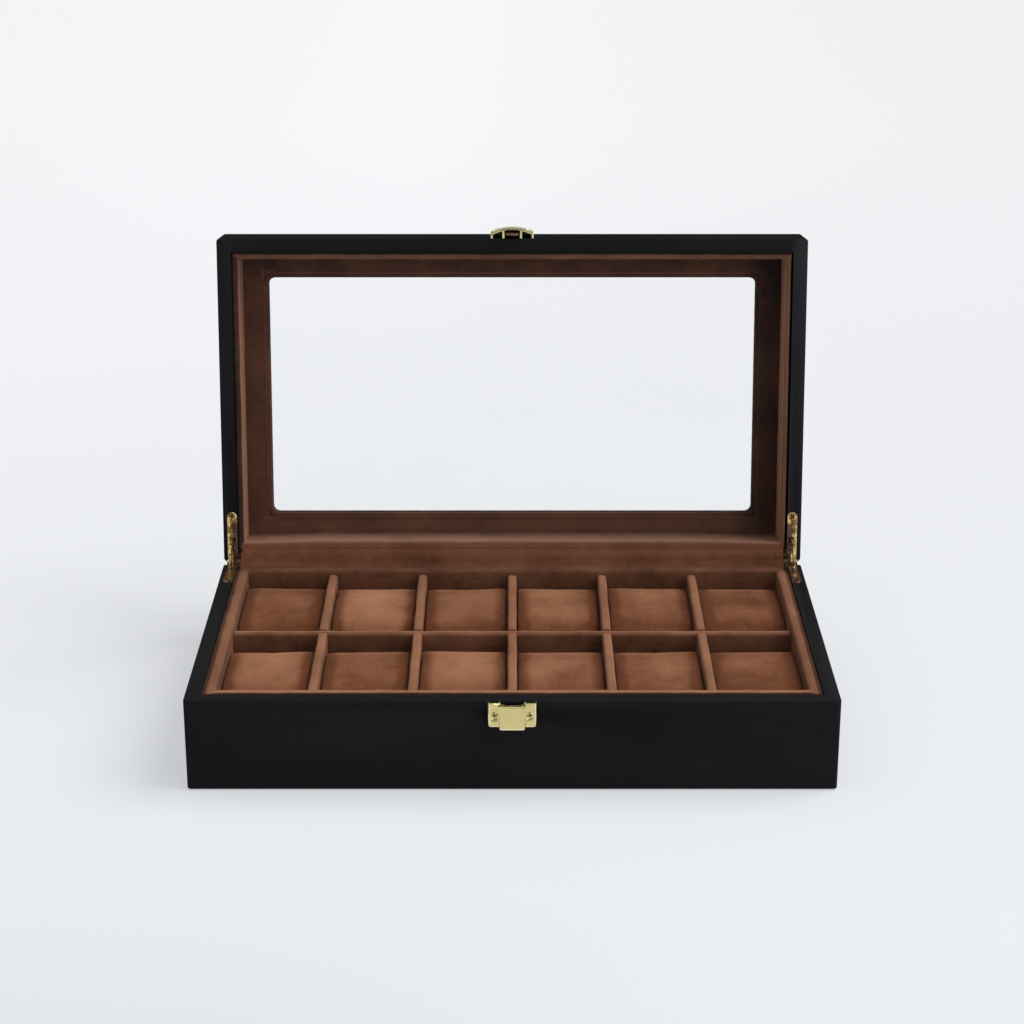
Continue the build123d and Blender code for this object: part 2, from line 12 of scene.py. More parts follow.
import bmesh
import bpy
import numpy as np
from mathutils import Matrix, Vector
from mathutils.bvhtree import BVHTree


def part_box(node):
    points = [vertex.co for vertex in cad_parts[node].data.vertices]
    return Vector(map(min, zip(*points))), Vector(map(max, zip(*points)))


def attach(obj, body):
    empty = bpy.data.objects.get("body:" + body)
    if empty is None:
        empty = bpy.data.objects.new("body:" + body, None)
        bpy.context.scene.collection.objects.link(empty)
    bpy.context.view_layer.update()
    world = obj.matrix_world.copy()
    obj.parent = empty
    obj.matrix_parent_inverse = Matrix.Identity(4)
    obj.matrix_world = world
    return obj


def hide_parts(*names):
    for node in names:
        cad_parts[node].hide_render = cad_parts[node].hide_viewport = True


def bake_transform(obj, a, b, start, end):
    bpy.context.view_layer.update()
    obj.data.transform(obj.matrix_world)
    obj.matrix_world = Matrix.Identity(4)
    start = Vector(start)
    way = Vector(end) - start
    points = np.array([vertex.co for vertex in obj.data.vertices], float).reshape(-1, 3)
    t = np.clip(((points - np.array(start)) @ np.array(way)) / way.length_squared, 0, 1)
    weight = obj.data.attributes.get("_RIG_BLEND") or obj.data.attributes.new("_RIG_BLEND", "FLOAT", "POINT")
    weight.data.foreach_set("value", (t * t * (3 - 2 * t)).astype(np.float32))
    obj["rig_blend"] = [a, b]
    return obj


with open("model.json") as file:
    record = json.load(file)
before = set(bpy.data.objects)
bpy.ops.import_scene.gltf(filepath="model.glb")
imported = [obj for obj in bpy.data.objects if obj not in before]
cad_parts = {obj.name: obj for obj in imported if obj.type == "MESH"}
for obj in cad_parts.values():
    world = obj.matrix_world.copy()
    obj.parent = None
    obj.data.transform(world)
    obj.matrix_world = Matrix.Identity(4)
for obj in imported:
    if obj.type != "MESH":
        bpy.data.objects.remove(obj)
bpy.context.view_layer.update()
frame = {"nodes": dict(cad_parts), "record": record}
MM = 0.001


def box_of(node):
    """The lowest and highest corner of a CAD node at rest."""
    return tuple(np.array(corner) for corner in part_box(node))


def points_of(mesh):
    """A mesh's points as an array."""
    points = np.empty(len(mesh.vertices) * 3)
    mesh.vertices.foreach_get("co", points)
    return points.reshape(-1, 3)


def node_points(node):
    """The points of a CAD node's mesh."""
    return points_of(frame["nodes"][node].data)


# %% [markdown]
# ## Where things are
#
# The lid rests open, so its parts stand turned about the hinge. It is easier to shape a lining
# in the closed lid, where every board is upright or level, and to turn it open afterwards. One
# function does the turning, and another one reads a node's box in the closed lid.

# %% Turn things about the hinge
hinge = next(j for j in frame["record"]["behaviour"]["joints"] if j["name"] == "lid_hinge")
HINGE = np.array(hinge["pos_m"], float)
OPEN = abs(hinge["range_deg"][0])
RIM = box_of("base_front_wall")[1][2]


def turned(points, degrees):
    """Turn points about the hinge axis: y and z are mixed by the cosine and sine of the angle."""
    a = math.radians(degrees)
    away = np.asarray(points, float) - HINGE
    y = away[..., 1] * math.cos(a) + away[..., 2] * math.sin(a)
    z = -away[..., 1] * math.sin(a) + away[..., 2] * math.cos(a)
    return np.stack([away[..., 0], y, z], -1) + HINGE


def closed_box(node):
    """The lowest and highest corner of a lid's node, with the lid shut."""
    points = turned(node_points(node), -OPEN)
    return points.min(0), points.max(0)


print("hinge at", np.round(HINGE / MM, 2), "opens", OPEN, "degrees; rim at", round(RIM / MM, 2))

# %% [markdown]
# ## The camera
#
# A product picture of a box is taken from the front and a little above, with a long lens, so
# that its sides hardly converge. The camera looks straight along the depth of the box and down
# by about twenty degrees. The lens is given in millimetres for a sensor 36 mm wide, and the
# place in metres.

# %% Camera
LOOK_DOWN = 20.67

camera = bpy.data.objects.new("camera", bpy.data.cameras.new("camera"))
bpy.context.collection.objects.link(camera)
camera.data.sensor_width = 36
camera.data.lens = 84.04
camera.data.clip_end = 30
camera.data.shift_x = -0.0002
camera.location = (0, -1.1995, 0.5707)
camera.rotation_euler = (math.radians(90 - LOOK_DOWN), 0, 0)
bpy.context.scene.camera = camera
print("camera at", tuple(round(v, 3) for v in camera.location))

# %% [markdown]
# ## Floor and light
#
# A pale sweep of paper is the floor, wide enough that no view shows its end. One large soft
# lamp at the right and above gives the direction, a weaker one shines straight down, another
# one lights the fronts from the right, and a pale world does the rest. Area lamps would be
# brighter on the near side of the box. These lamps are suns, which are as strong everywhere.

# %% Floor and lamps
FLOOR_HALF = 14
floor_corners = [(x * FLOOR_HALF, y * FLOOR_HALF, 0) for x, y in ((-1, -1), (1, -1), (1, 1), (-1, 1))]
floor = bpy.data.objects.new("floor", bpy.data.meshes.new("floor"))
floor.data.from_pydata(floor_corners, [], [(0, 1, 2, 3)])
bpy.context.collection.objects.link(floor)


def lamp(name, place, angle, strength):
    """A distant lamp that shines from a place towards the origin. The wider its angle, the
    softer its shadows."""
    light = bpy.data.lights.new(name, "SUN")
    light.angle = math.radians(angle)
    light.energy = strength
    body = bpy.data.objects.new(name, light)
    bpy.context.collection.objects.link(body)
    body.rotation_euler = Vector(place).to_track_quat("Z", "Y").to_euler()


lamp("key", (1.0, 0.10, 1.30), 45, 2.25)
lamp("top", (-0.25, 0.0, 1.0), 80, 0.55)
lamp("front", (0.80, -1.0, 0.35), 50, 0.55)

# %% [markdown]
# ## Node graphs
#
# A finish is a graph of small nodes: noises, sums, products and mixes. Written out node by
# node, a graph is long and hard to read. This small class adds a node with each call and gives
# back its output, so that a mix reads like a formula.

# %% A graph of shader nodes
class Graph:
    """A shader node tree. What a call takes is a socket, which is linked, or a number or a
    colour, which is set."""

    def __init__(self, tree):
        self.tree = tree

    def feed(self, value, socket):
        """Link a socket to an input, or set the input. A colour comes without its alpha."""
        if isinstance(value, bpy.types.NodeSocket):
            self.tree.links.new(value, socket)
        else:
            socket.default_value = (*value, 1) if socket.type == "RGBA" else value

    def node(self, kind, **inputs):
        """A new node. Its inputs go by their names, with _ for a space."""
        made = self.tree.nodes.new("ShaderNode" + kind)
        for label, value in inputs.items():
            self.feed(value, made.inputs[label.replace("_", " ")])
        return made

    def math(self, operation, first, second=0.5, clamp=False):
        """A math node, whose result may be clamped between 0 and 1."""
        made = self.node("Math")
        made.operation = operation
        made.use_clamp = clamp
        self.feed(first, made.inputs[0])
        self.feed(second, made.inputs[1])
        return made.outputs[0]

    def plus(self, first, second, clamp=False):
        """The sum of two values."""
        return self.math("ADD", first, second, clamp)

    def minus(self, first, second, clamp=False):
        """The first value less the second one."""
        return self.math("SUBTRACT", first, second, clamp)

    def times(self, first, second, clamp=False):
        """The product of two values."""
        return self.math("MULTIPLY", first, second, clamp)

    def spread(self, value, low, high, new_low=0.0, new_high=1.0):
        """Stretch a value's range to a new one and clamp it."""
        old = {"From_Min": low, "From_Max": high}
        return self.node("MapRange", Value=value, **old, To_Min=new_low, To_Max=new_high).outputs[0]

    def mix(self, mask, first, second):
        """A colour that goes from the first one to the second one with a mask."""
        made = self.node("Mix")
        made.data_type = "RGBA"
        for label, value in (("Factor", mask), ("A", first), ("B", second)):
            self.feed(value, made.inputs[label])
        return made.outputs["Result"]

    def spot(self):
        """Where a point lies on its object."""
        return self.node("TexCoord").outputs["Object"]

    def axes(self):
        """The X, Y and Z of that spot."""
        return self.node("SeparateXYZ", Vector=self.spot()).outputs

    def painted(self, label):
        """The value that is painted on the piece under a label."""
        made = self.node("Attribute")
        made.attribute_name = label
        return made.outputs["Fac"]

    def noise(self, spot, scale, detail=2.0, roughness=0.5, stretch=None):
        """A noise texture, squeezed along some axes if asked."""
        if stretch:
            spot = self.node("Mapping", Vector=spot, Scale=stretch).outputs[0]
        made = self.node("TexNoise", Vector=spot, Scale=scale, Detail=detail, Roughness=roughness)
        return made.outputs["Fac"]

    def bump(self, height, distance, strength=1.0):
        """A normal from a height."""
        return self.node("Bump", Height=height, Distance=distance, Strength=strength).outputs["Normal"]

    def effect(self, inner, **values):
        """Another graph placed in this one as a node group with its own values."""
        made = self.node("Group")
        made.node_tree = inner.tree
        for label, value in values.items():
            self.feed(value, made.inputs[label])
        return made.outputs


def shared_effect(name, inputs, outputs):
    """A graph for a node group, the values that come in and the sockets for what goes out. All
    of them are single numbers, and what comes in has a default."""
    tree = bpy.data.node_groups.new(name, "ShaderNodeTree")
    for label, value in inputs.items():
        socket = tree.interface.new_socket(label, in_out="INPUT", socket_type="NodeSocketFloat")
        socket.default_value = value
    for label in outputs:
        tree.interface.new_socket(label, in_out="OUTPUT", socket_type="NodeSocketFloat")
    return Graph(tree), tree.nodes.new("NodeGroupInput").outputs, tree.nodes.new("NodeGroupOutput").inputs


print("graph helpers ready")

# %% [markdown]
# ## Effects that several finishes share
#
# Suede is a leather or cloth brushed until short fibres stand up. Where a hand has pushed the
# fibres one way it looks lighter, the other way darker, in soft patches as wide as a thumb.
# Close up there is a fine cross-grain. The effect gives a patch mask, a fibre mask and a
# height. It is a node group, so every suede of the box has the same nap, each in its own tone.

# %% The nap of suede
brushed_nap, given, result = shared_effect("brushed_nap", {"Patch": 0.5}, ["Shade", "Fibre", "Height"])
spot = brushed_nap.spot()
wide = brushed_nap.spread(brushed_nap.noise(spot, 34, 2.0), 0.3, 0.7)
narrow = brushed_nap.spread(brushed_nap.noise(spot, 150, 2.0, 0.6), 0.3, 0.7)
strokes = brushed_nap.spread(brushed_nap.noise(spot, 420, 1.0, 0.5, (1.0, 0.16, 1.0)), 0.3, 0.7)
cross = brushed_nap.spread(brushed_nap.noise(spot, 520, 1.0, 0.5, (0.14, 1.0, 1.0)), 0.3, 0.7)
strokes = brushed_nap.times(brushed_nap.plus(strokes, cross), 0.5)
fibres = brushed_nap.spread(brushed_nap.noise(spot, 1900, 2.0, 0.7), 0.25, 0.75)
soft = brushed_nap.plus(brushed_nap.times(wide, 0.55), brushed_nap.times(narrow, 0.25))
soft = brushed_nap.plus(soft, brushed_nap.times(strokes, 0.2))
patches = brushed_nap.times(brushed_nap.minus(soft, 0.5), given["Patch"])
brushed_nap.feed(brushed_nap.plus(patches, 0.5, clamp=True), result["Shade"])
brushed_nap.feed(fibres, result["Fibre"])
height = brushed_nap.plus(brushed_nap.times(fibres, 0.6), brushed_nap.times(narrow, 0.4))
brushed_nap.feed(height, result["Height"])
print("nap nodes:", len(brushed_nap.tree.nodes))

# %% [markdown]
# Satin lacquer is flat black with a very fine orange peel from the spray gun, faint cloudy
# smears where it was handled, and here and there a speck of dust. A speck is the middle of a
# Voronoi cell, and a noise leaves out most of the cells.

# %% Sprayed lacquer
sprayed, given, result = shared_effect("sprayed_lacquer", {"Smear": 1.0}, ["Cloud", "Speck", "Height"])
spot = sprayed.spot()
cloud = sprayed.spread(sprayed.noise(spot, 13, 4.0, 0.62, (1.0, 1.0, 2.0)), 0.35, 0.7)
sprayed.feed(sprayed.times(cloud, given["Smear"]), result["Cloud"])
from_middle = sprayed.node("TexVoronoi", Vector=spot, Scale=230).outputs["Distance"]
speck = sprayed.spread(from_middle, 0.05, 0.09, 1.0, 0.0)
few = sprayed.spread(sprayed.noise(spot, 60, 1.0), 0.60, 0.68)
sprayed.feed(sprayed.times(speck, few), result["Speck"])
sprayed.feed(sprayed.noise(spot, 900, 1.0), result["Height"])
print("lacquer nodes:", len(sprayed.tree.nodes))

# %% [markdown]
# Brass hardware is thinly plated: bright, with fine scratches and slightly duller clouds. The
# scratches are a noise squeezed along one axis, which is cheaper than drawing lines.

# %% Plated metal
plating, given, result = shared_effect("plated_metal", {"Scratch": 1.0}, ["Cloud", "Scratch", "Height"])
spot = plating.spot()
plating.feed(plating.spread(plating.noise(spot, 260, 3.0, 0.6), 0.3, 0.7), result["Cloud"])
lines = plating.spread(plating.noise(spot, 2600, 1.0, 0.5, (0.12, 1.0, 1.0)), 0.45, 0.8)
lines = plating.times(lines, given["Scratch"])
plating.feed(lines, result["Scratch"])
height = plating.plus(plating.times(lines, 0.5), plating.noise(spot, 700, 2.0))
plating.feed(height, result["Height"])
print("metal nodes:", len(plating.tree.nodes))

# %% [markdown]
# ## Suede
#
# Each material starts from a Principled shader. Numbers that are the same all over sit on the
# shader's own sockets, and what varies comes from the effects. Suede is one colour ramp between
# a dark and a light brown, and the nap and what is painted on a piece decide how far along it
# lies. The painted value holds the nap's own tone and also painted light and shade. So a pillow
# can be darker than its neighbour without a material of its own.

# %% Suede materials
def finish(name, **constants):
    """A material, its graph and its shader's inputs, the constant ones already set."""
    material = bpy.data.materials.new(name)
    material.use_nodes = True
    graph = Graph(material.node_tree)
    shader = graph.tree.nodes["Principled BSDF"].inputs
    for label, value in constants.items():
        graph.feed(value, shader[label.replace("_", " ")])
    return material, graph, shader


SHEEN = {"Sheen_Weight": 0.12, "Sheen_Roughness": 0.4, "Sheen_Tint": (0.95, 0.6, 0.38)}


def suede(name, dark, light, patch):
    """Brown suede between two shades. The value painted on each piece, its nap together with
    painted light and shade, makes it lighter above a half and darker below."""
    material, graph, shader = finish(name, **SHEEN, Specular_IOR_Level=0.06)
    nap = graph.effect(brushed_nap, Patch=patch)
    shade = graph.plus(graph.times(nap["Shade"], 0.85), graph.times(nap["Fibre"], 0.30))
    shade = graph.minus(graph.plus(shade, graph.painted("nap_and_painted_light")), 0.575, clamp=True)
    graph.feed(graph.mix(shade, dark, light), shader["Base Color"])
    graph.feed(graph.spread(nap["Shade"], 0, 1, 0.98, 0.86), shader["Roughness"])
    graph.feed(graph.bump(nap["Height"], 0.12 * MM, 0.8), shader["Normal"])
    return material


pillow_suede = suede("pillow_suede", (0.115, 0.038, 0.0165), (0.420, 0.198, 0.106), 0.5)
lining_suede = suede("lining_suede", (0.050, 0.019, 0.0105), (0.300, 0.137, 0.077), 0.65)
strip_suede = suede("strip_suede", (0.045, 0.016, 0.0080), (0.300, 0.120, 0.066), 0.5)
# the lid's lining and the window's mat get greyer copies of the suede, the mat's darker too, as painted
# shade for the lid, which stands in shade
lid_shaded_suede = suede("lid_shaded_suede", (0.040, 0.021, 0.0150), (0.320, 0.158, 0.102), 0.4)
mat_shaded_suede = suede("mat_shaded_suede", (0.030, 0.020, 0.0165), (0.200, 0.085, 0.052), 0.5)
print("suedes:", [m.name for m in bpy.data.materials if "suede" in m.name])

# %% [markdown]
# ## Lacquer
#
# Black lacquer shows hardly any colour of its own: what one sees is a haze of dust and the
# light on its faint gloss. The dust is specks and clouds. A painted sheen is painted on the
# pieces as well, greyer where the lamps light a side more. The lid's lacquer has no gloss,
# because its upright faces would mirror the pale world and look grey; its painted sheen stands
# in for the light on it.

# %% Lacquer materials
def lacquered(name, gloss):
    """Black lacquer that gets greyer with specks and clouds of dust, and with a painted sheen."""
    material, graph, shader = finish(name, Specular_IOR_Level=gloss)
    coat = graph.effect(sprayed, Smear=1.0)
    dust_and_sheen = graph.plus(graph.times(coat["Speck"], 0.5), graph.times(coat["Cloud"], 0.12))
    dust_and_sheen = graph.plus(dust_and_sheen, graph.painted("painted_sheen"), clamp=True)
    graph.feed(graph.mix(dust_and_sheen, (0.0074, 0.0075, 0.0084), (0.030, 0.030, 0.033)), shader["Base Color"])
    graph.feed(graph.spread(coat["Cloud"], 0, 1, 0.58, 0.70), shader["Roughness"])
    graph.feed(graph.bump(coat["Height"], 0.02 * MM, 0.5), shader["Normal"])
    return material


lacquer = lacquered("black_lacquer", 0.05)
dull_lacquer = lacquered("dull_lacquer", 0.0)
print("lacquers:", lacquer.name, dull_lacquer.name)

# %% [markdown]
# ## Gilt brass
#
# Old plated brass keeps a brown film where no cloth reaches. Here its edges are painted pale,
# as a painted highlight, and its sheltered places go dark to the film, partly as tarnish and
# partly as painted shade. Two painted values tell the material where that is: one on the edges
# and one for shelter. A hinge leaf also gets a dark stripe along its length, a painted
# reflection. That stripe needs no painted value, because the leaves stand at a known distance
# from the middle of the box, so the stripe is worked out from the place of a point, with a
# ragged side.

# %% Brass materials
leaf_high = box_of("right_hinge_lid_leaf")[1]
LEAF_MIDDLE = leaf_high[0] - 2.8 * MM
DARK_STRIPE_HEIGHT = leaf_high[2] - 5.6 * MM


def painted_dark_stripe(graph, cloud, edge):
    """Where a hinge leaf is painted dark, a painted reflection: on its half that is nearer to the
    middle of the box, up to a height on the lid, and along the outer border of the leaf on the
    base. Painted highlights on the edges stay bright."""
    place = graph.axes()
    across = graph.minus(graph.math("ABSOLUTE", place["X"]), LEAF_MIDDLE)
    across = graph.plus(across, graph.times(graph.minus(cloud, 0.5), 1.4 * MM))
    darkened = graph.spread(across, 0.3 * MM, -0.4 * MM)
    darkened = graph.times(darkened, graph.spread(place["Z"], DARK_STRIPE_HEIGHT, DARK_STRIPE_HEIGHT - 1.5 * MM))
    on_base = graph.spread(place["Z"], RIM + 2 * MM, RIM + 0.6 * MM)
    border = graph.times(graph.spread(across, 1.0 * MM, 1.6 * MM), on_base)
    darkened = graph.plus(darkened, border, clamp=True)
    return graph.times(darkened, graph.minus(0.96, edge), clamp=True)


def plated(name, dull, bright, smooth, patchy, film, leaf=False):
    """Gilt metal between a dull and a bright tone. The edge value makes it paler, a painted
    highlight, and the shelter value darkens it to the film, partly tarnish and partly painted
    shade, and makes it rougher and less metallic. A hinge leaf also gets its painted dark stripe."""
    material, graph, shader = finish(name, Metallic=1.0)
    plate = graph.effect(plating, Scratch=1.0)
    tarnish_and_shade, edge = graph.painted("tarnish_and_shade"), graph.painted("edge")
    gilt = graph.mix(graph.spread(plate["Cloud"], 0.5 - patchy, 0.5 + patchy), dull, bright)
    gilt = graph.mix(graph.times(edge, 0.8), gilt, (0.97, 0.93, 0.70))
    film_and_shade = graph.spread(tarnish_and_shade, 0.30, 0.80)
    if leaf:
        film_and_shade = graph.math("MAXIMUM", film_and_shade, painted_dark_stripe(graph, plate["Cloud"], edge))
    graph.feed(graph.mix(film_and_shade, gilt, film), shader["Base Color"])
    graph.feed(graph.spread(film_and_shade, 0, 1, 1.0, 0.3), shader["Metallic"])
    rough = graph.spread(plate["Cloud"], 0, 1, smooth, smooth + 0.07)
    rough = graph.plus(graph.times(plate["Scratch"], 0.08), rough)
    graph.feed(graph.plus(rough, graph.times(tarnish_and_shade, 0.2)), shader["Roughness"])
    graph.feed(graph.bump(plate["Height"], 0.03 * MM, 0.4), shader["Normal"])
    return material


brass = plated("gilt_brass", (0.66, 0.56, 0.235), (0.74, 0.64, 0.30), 0.10, 0.5, (0.13, 0.066, 0.030))
hinge_brass = plated(
    "hinge_brass", (0.30, 0.17, 0.055), (0.84, 0.62, 0.30), 0.09, 0.22, (0.055, 0.022, 0.008), leaf=True
)
print("leaf middle", round(LEAF_MIDDLE / MM, 2), "worn up to", round(DARK_STRIPE_HEIGHT / MM, 2))

# %% [markdown]
# ## Steel, board, felt and glass
#
# The other finishes reuse the three effects. The pane is real glass, so it bends and mirrors
# light, but its alpha below one lets part of the floor through as it is, and nearly all of a
# shadow ray, because a thin pane casts almost no shadow.

# %% The other materials
steel, graph, shader = finish("spring_steel", Metallic=1.0)
plate = graph.effect(plating, Scratch=0.6)
graph.feed(graph.mix(plate["Cloud"], (0.36, 0.36, 0.38), (0.5, 0.5, 0.5)), shader["Base Color"])
graph.feed(graph.spread(plate["Scratch"], 0, 1, 0.25, 0.45), shader["Roughness"])

painted_board, graph, shader = finish("painted_board", Specular_IOR_Level=0.2)
coat = graph.effect(sprayed, Smear=1.0)
graph.feed(graph.mix(coat["Cloud"], (0.030, 0.027, 0.026), (0.055, 0.048, 0.045)), shader["Base Color"])
graph.feed(graph.spread(coat["Speck"], 0, 1, 0.85, 0.7), shader["Roughness"])
graph.feed(graph.bump(coat["Height"], 0.1 * MM), shader["Normal"])

felt, graph, shader = finish("black_felt", Sheen_Weight=0.5, Sheen_Roughness=0.5, Roughness=1.0)
nap = graph.effect(brushed_nap, Patch=0.8)
graph.feed(graph.mix(nap["Fibre"], (0.012, 0.011, 0.010), (0.040, 0.036, 0.033)), shader["Base Color"])
graph.feed(graph.bump(nap["Height"], 0.4 * MM), shader["Normal"])

glass, graph, shader = finish("clear_pane", Transmission_Weight=1.0, IOR=1.45, Metallic=0.0)
smear = graph.effect(sprayed, Smear=1.0)
graph.feed(graph.mix(smear["Cloud"], (0.985, 0.992, 0.99), (0.965, 0.975, 0.972)), shader["Base Color"])
graph.feed(graph.spread(smear["Cloud"], 0.5, 1, 0.0, 0.03), shader["Roughness"])
shadow = graph.node("LightPath").outputs["Is Shadow Ray"]
graph.feed(graph.minus(0.45, graph.times(shadow, 0.4)), shader["Alpha"])
print("materials:", [m.name for m in bpy.data.materials])

# %% [markdown]
# ## The floor's and the world's finish
#
# The paper of the floor is almost white and quite matt. Painted light is in its colour: it is a
# little paler far away, lit unevenly in a slant across it, paler in the middle beyond the box
# and given painted shade near the front at the left. Part of its tone is given straight to the
# camera, to reflections and to what is seen through glass, so the shadow on it stays as faint as
# on a well lit sweep of paper. The rest is lit by the lamps, so that the box still throws its
# shadow. The world is a plain pale grey.

# %% Floor and world finish
paper, graph, shader = finish("paper", Roughness=0.9, Specular_IOR_Level=0.1)
place = graph.axes()
tone = graph.mix(graph.spread(place["Y"], -0.6, 1.6), (0.774, 0.798, 0.830), (0.842, 0.848, 0.862))
# painted light on the floor: a slant of light across it, a paler glow in the middle beyond the box, and
# painted shade near the front at the left
slant = graph.times(place["X"], graph.minus(0.3, place["Y"]))
light = graph.spread(slant, -0.12, 0.12, 0.980, 1.014)
painted_glow_behind = graph.spread(graph.math("ABSOLUTE", place["X"]), 0.55, 0.10, 0, 0.035)
painted_glow_behind = graph.times(painted_glow_behind, graph.spread(place["Y"], 0.5, 1.4))
painted_shade_front_left = graph.spread(place["Y"], -0.20, -0.33, 0, 0.05)
painted_shade_front_left = graph.times(painted_shade_front_left, graph.spread(place["X"], 0.12, -0.12))
light = graph.minus(graph.plus(light, painted_glow_behind), painted_shade_front_left)
lit = graph.node("VectorMath")
lit.operation = "SCALE"
graph.feed(tone, lit.inputs[0])
graph.feed(light, lit.inputs["Scale"])
graph.feed(lit.outputs[0], shader["Base Color"])
glow = graph.node("Emission", Color=lit.outputs[0])
path = graph.node("LightPath").outputs
seen = graph.plus(path["Is Camera Ray"], path["Is Glossy Ray"], clamp=True)
seen = graph.plus(seen, path["Is Transmission Ray"], clamp=True)
both = graph.node("MixShader", Fac=graph.times(seen, 0.56))
graph.feed(graph.tree.nodes["Principled BSDF"].outputs[0], both.inputs[1])
graph.feed(glow.outputs[0], both.inputs[2])
graph.feed(both.outputs[0], graph.tree.nodes["Material Output"].inputs["Surface"])
floor.data.materials.append(paper)

world = bpy.data.worlds.new("studio")
bpy.context.scene.world = world
world.use_nodes = True
sky = world.node_tree.nodes["Background"]
sky.inputs["Color"].default_value = (0.98, 0.98, 1.0, 1)
sky.inputs["Strength"].default_value = 0.36
bpy.context.scene.view_settings.view_transform = "Standard"
print("world strength", sky.inputs["Strength"].default_value)

# %% [markdown]
# ## Finishes on the CAD nodes
#
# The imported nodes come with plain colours. Every node gets the material that belongs to its
# slot in the record, in the slots that its object already has.

# %% Dress the CAD nodes
FINISH = {
    "lacquered_wood": lacquer,
    "brown_suede": lining_suede,
    "clear_glass": glass,
    "gilt_brass": brass,
    "spring_steel": steel,
    "fibre_board": painted_board,
    "underside_felt": felt,
}
for part in frame["record"]["subparts"]:
    node = frame["nodes"][part["node"]]
    for holder in node.material_slots:
        holder.material = hinge_brass if part["node"] == "hinge_pins" else FINISH[part["material_slot"]]

# %% [markdown]
# ## Surfaces from numbers
#
# A new piece is a grid of points, worked out as whole arrays. Every row of the grid is a closed
# loop, and neighbouring points become four-sided faces. The rows may close into a ring, as
# round a tray. Otherwise the first row and the last one get a flat lid each. A grid like this
# is quicker to make and to change than a mesh drawn by hand, and it never has a hole.

# %% Grids and pieces
def grid_faces(rows, columns, ring=False):
    """The corner numbers of each face: a point, its right neighbour, the one diagonally below
    and the one below. Numbers wrap round where the grid is closed."""
    row, column = np.meshgrid(np.arange(rows if ring else rows - 1), np.arange(columns), indexing="ij")
    below, right = (row + 1) % rows * columns, (column + 1) % columns
    row = row * columns
    faces = np.stack([row + column, row + right, below + right, below + column], -1).reshape(-1, 4).tolist()
    if not ring:
        faces += [list(range(columns)), list(range((rows - 1) * columns, rows * columns))]
    return faces


def joined(grids):
    """Several grids with lids as one set of points and faces."""
    points, faces, count = [], [], 0
    for grid in grids:
        faces += [[corner + count for corner in face] for face in grid_faces(*grid.shape[:2])]
        points.append(grid.reshape(-1, 3))
        count += len(points[-1])
    return np.concatenate(points), faces


def set_up(name, mesh, material, body, sharp, outward=True):
    """Merge doubles, turn the faces outwards, shade softly between sharp edges and ride a body."""
    build = bmesh.new()
    build.from_mesh(mesh)
    bmesh.ops.remove_doubles(build, verts=build.verts, dist=2e-6)
    if outward:
        bmesh.ops.recalc_face_normals(build, faces=build.faces)
    build.to_mesh(mesh)
    build.free()
    mesh.polygons.foreach_set("use_smooth", np.ones(len(mesh.polygons), bool))
    mesh.set_sharp_from_angle(angle=math.radians(sharp))
    mesh.materials.clear()
    mesh.materials.append(material)
    piece = bpy.data.objects.new(name, mesh)
    bpy.context.collection.objects.link(piece)
    if body:
        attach(piece, body)
    return piece


def new_piece(name, points, faces, material, body, slot="brown_suede", sharp=50):
    """A piece from points and faces."""
    mesh = bpy.data.meshes.new(name)
    mesh.from_pydata(np.asarray(points, float).reshape(-1, 3).tolist(), [], faces)
    return set_up(name, mesh, material, body, sharp)


print("grid helpers ready")

# %% [markdown]
# The boards and the window of this box have round corners, so two kinds of outline are needed:
# a section with its own radius at every corner, and a rectangle whose points are counted
# alike at every size, so that one can lie inside another and be joined to it point by point.

# %% Outlines
def rounded(corners, radii, steps=5):
    """A closed outline with round corners. Each arc touches both sides of its corner, so its
    centre lies on the bisector, as far out as the radius over the sine of half the angle."""
    corners = np.asarray(corners, float)
    outline = []
    for before, here, after, radius in zip(np.roll(corners, 1, 0), corners, np.roll(corners, -1, 0), radii):
        if radius <= 0:
            outline.append(here[None])
            continue
        back = (before - here) / np.linalg.norm(before - here)
        ahead = (after - here) / np.linalg.norm(after - here)
        half = math.acos(np.clip(back @ ahead, -1, 1)) / 2
        centre = here + (back + ahead) / np.linalg.norm(back + ahead) * radius / math.sin(half)
        start = here + back * radius / math.tan(half) - centre
        end = here + ahead * radius / math.tan(half) - centre
        turn = math.pi - 2 * half
        t = np.linspace(0, 1, steps + 1)[:, None]
        outline.append(centre + (np.sin((1 - t) * turn) * start + np.sin(t * turn) * end) / math.sin(turn))
    return np.concatenate(outline)


def divided(outline, longer, steps):
    """Cut every side of an outline that is longer than a length into equal steps."""
    after = np.roll(outline, -1, 0)
    t = np.linspace(0, 1, steps, endpoint=False)[:, None]
    long = np.linalg.norm(after - outline, axis=1) > longer
    return np.concatenate([a + (b - a) * t if cut else a[None] for a, b, cut in zip(outline, after, long)])


def rectangle(half_x, half_y, radius, side_steps=24, corner_steps=4):
    """Points round a rectangle with round corners: quarter circles about the four corner
    centres, joined by evenly divided sides. The count is the same for every size."""
    angle = np.linspace(0, math.pi / 2, corner_steps + 1)
    arcs = []
    for quarter, (right, far) in enumerate(((1, 1), (-1, 1), (-1, -1), (1, -1))):
        turn = angle + quarter * math.pi / 2
        centre = np.array([right * (half_x - radius), far * (half_y - radius)])
        arcs.append(centre + radius * np.stack([np.cos(turn), np.sin(turn)], -1))
    pieces = []
    for arc, after in zip(arcs, arcs[1:] + arcs[:1]):
        t = np.linspace(0, 1, side_steps + 1)[1:-1, None]
        pieces += [arc, arc[-1] + (after[0] - arc[-1]) * t]
    return np.concatenate(pieces)


def level_loop(half_x, half_y, radius, height, **steps):
    """A rectangle with round corners at one height."""
    loop = rectangle(half_x, half_y, radius, **steps)
    return np.column_stack([loop, np.full(len(loop), height)])


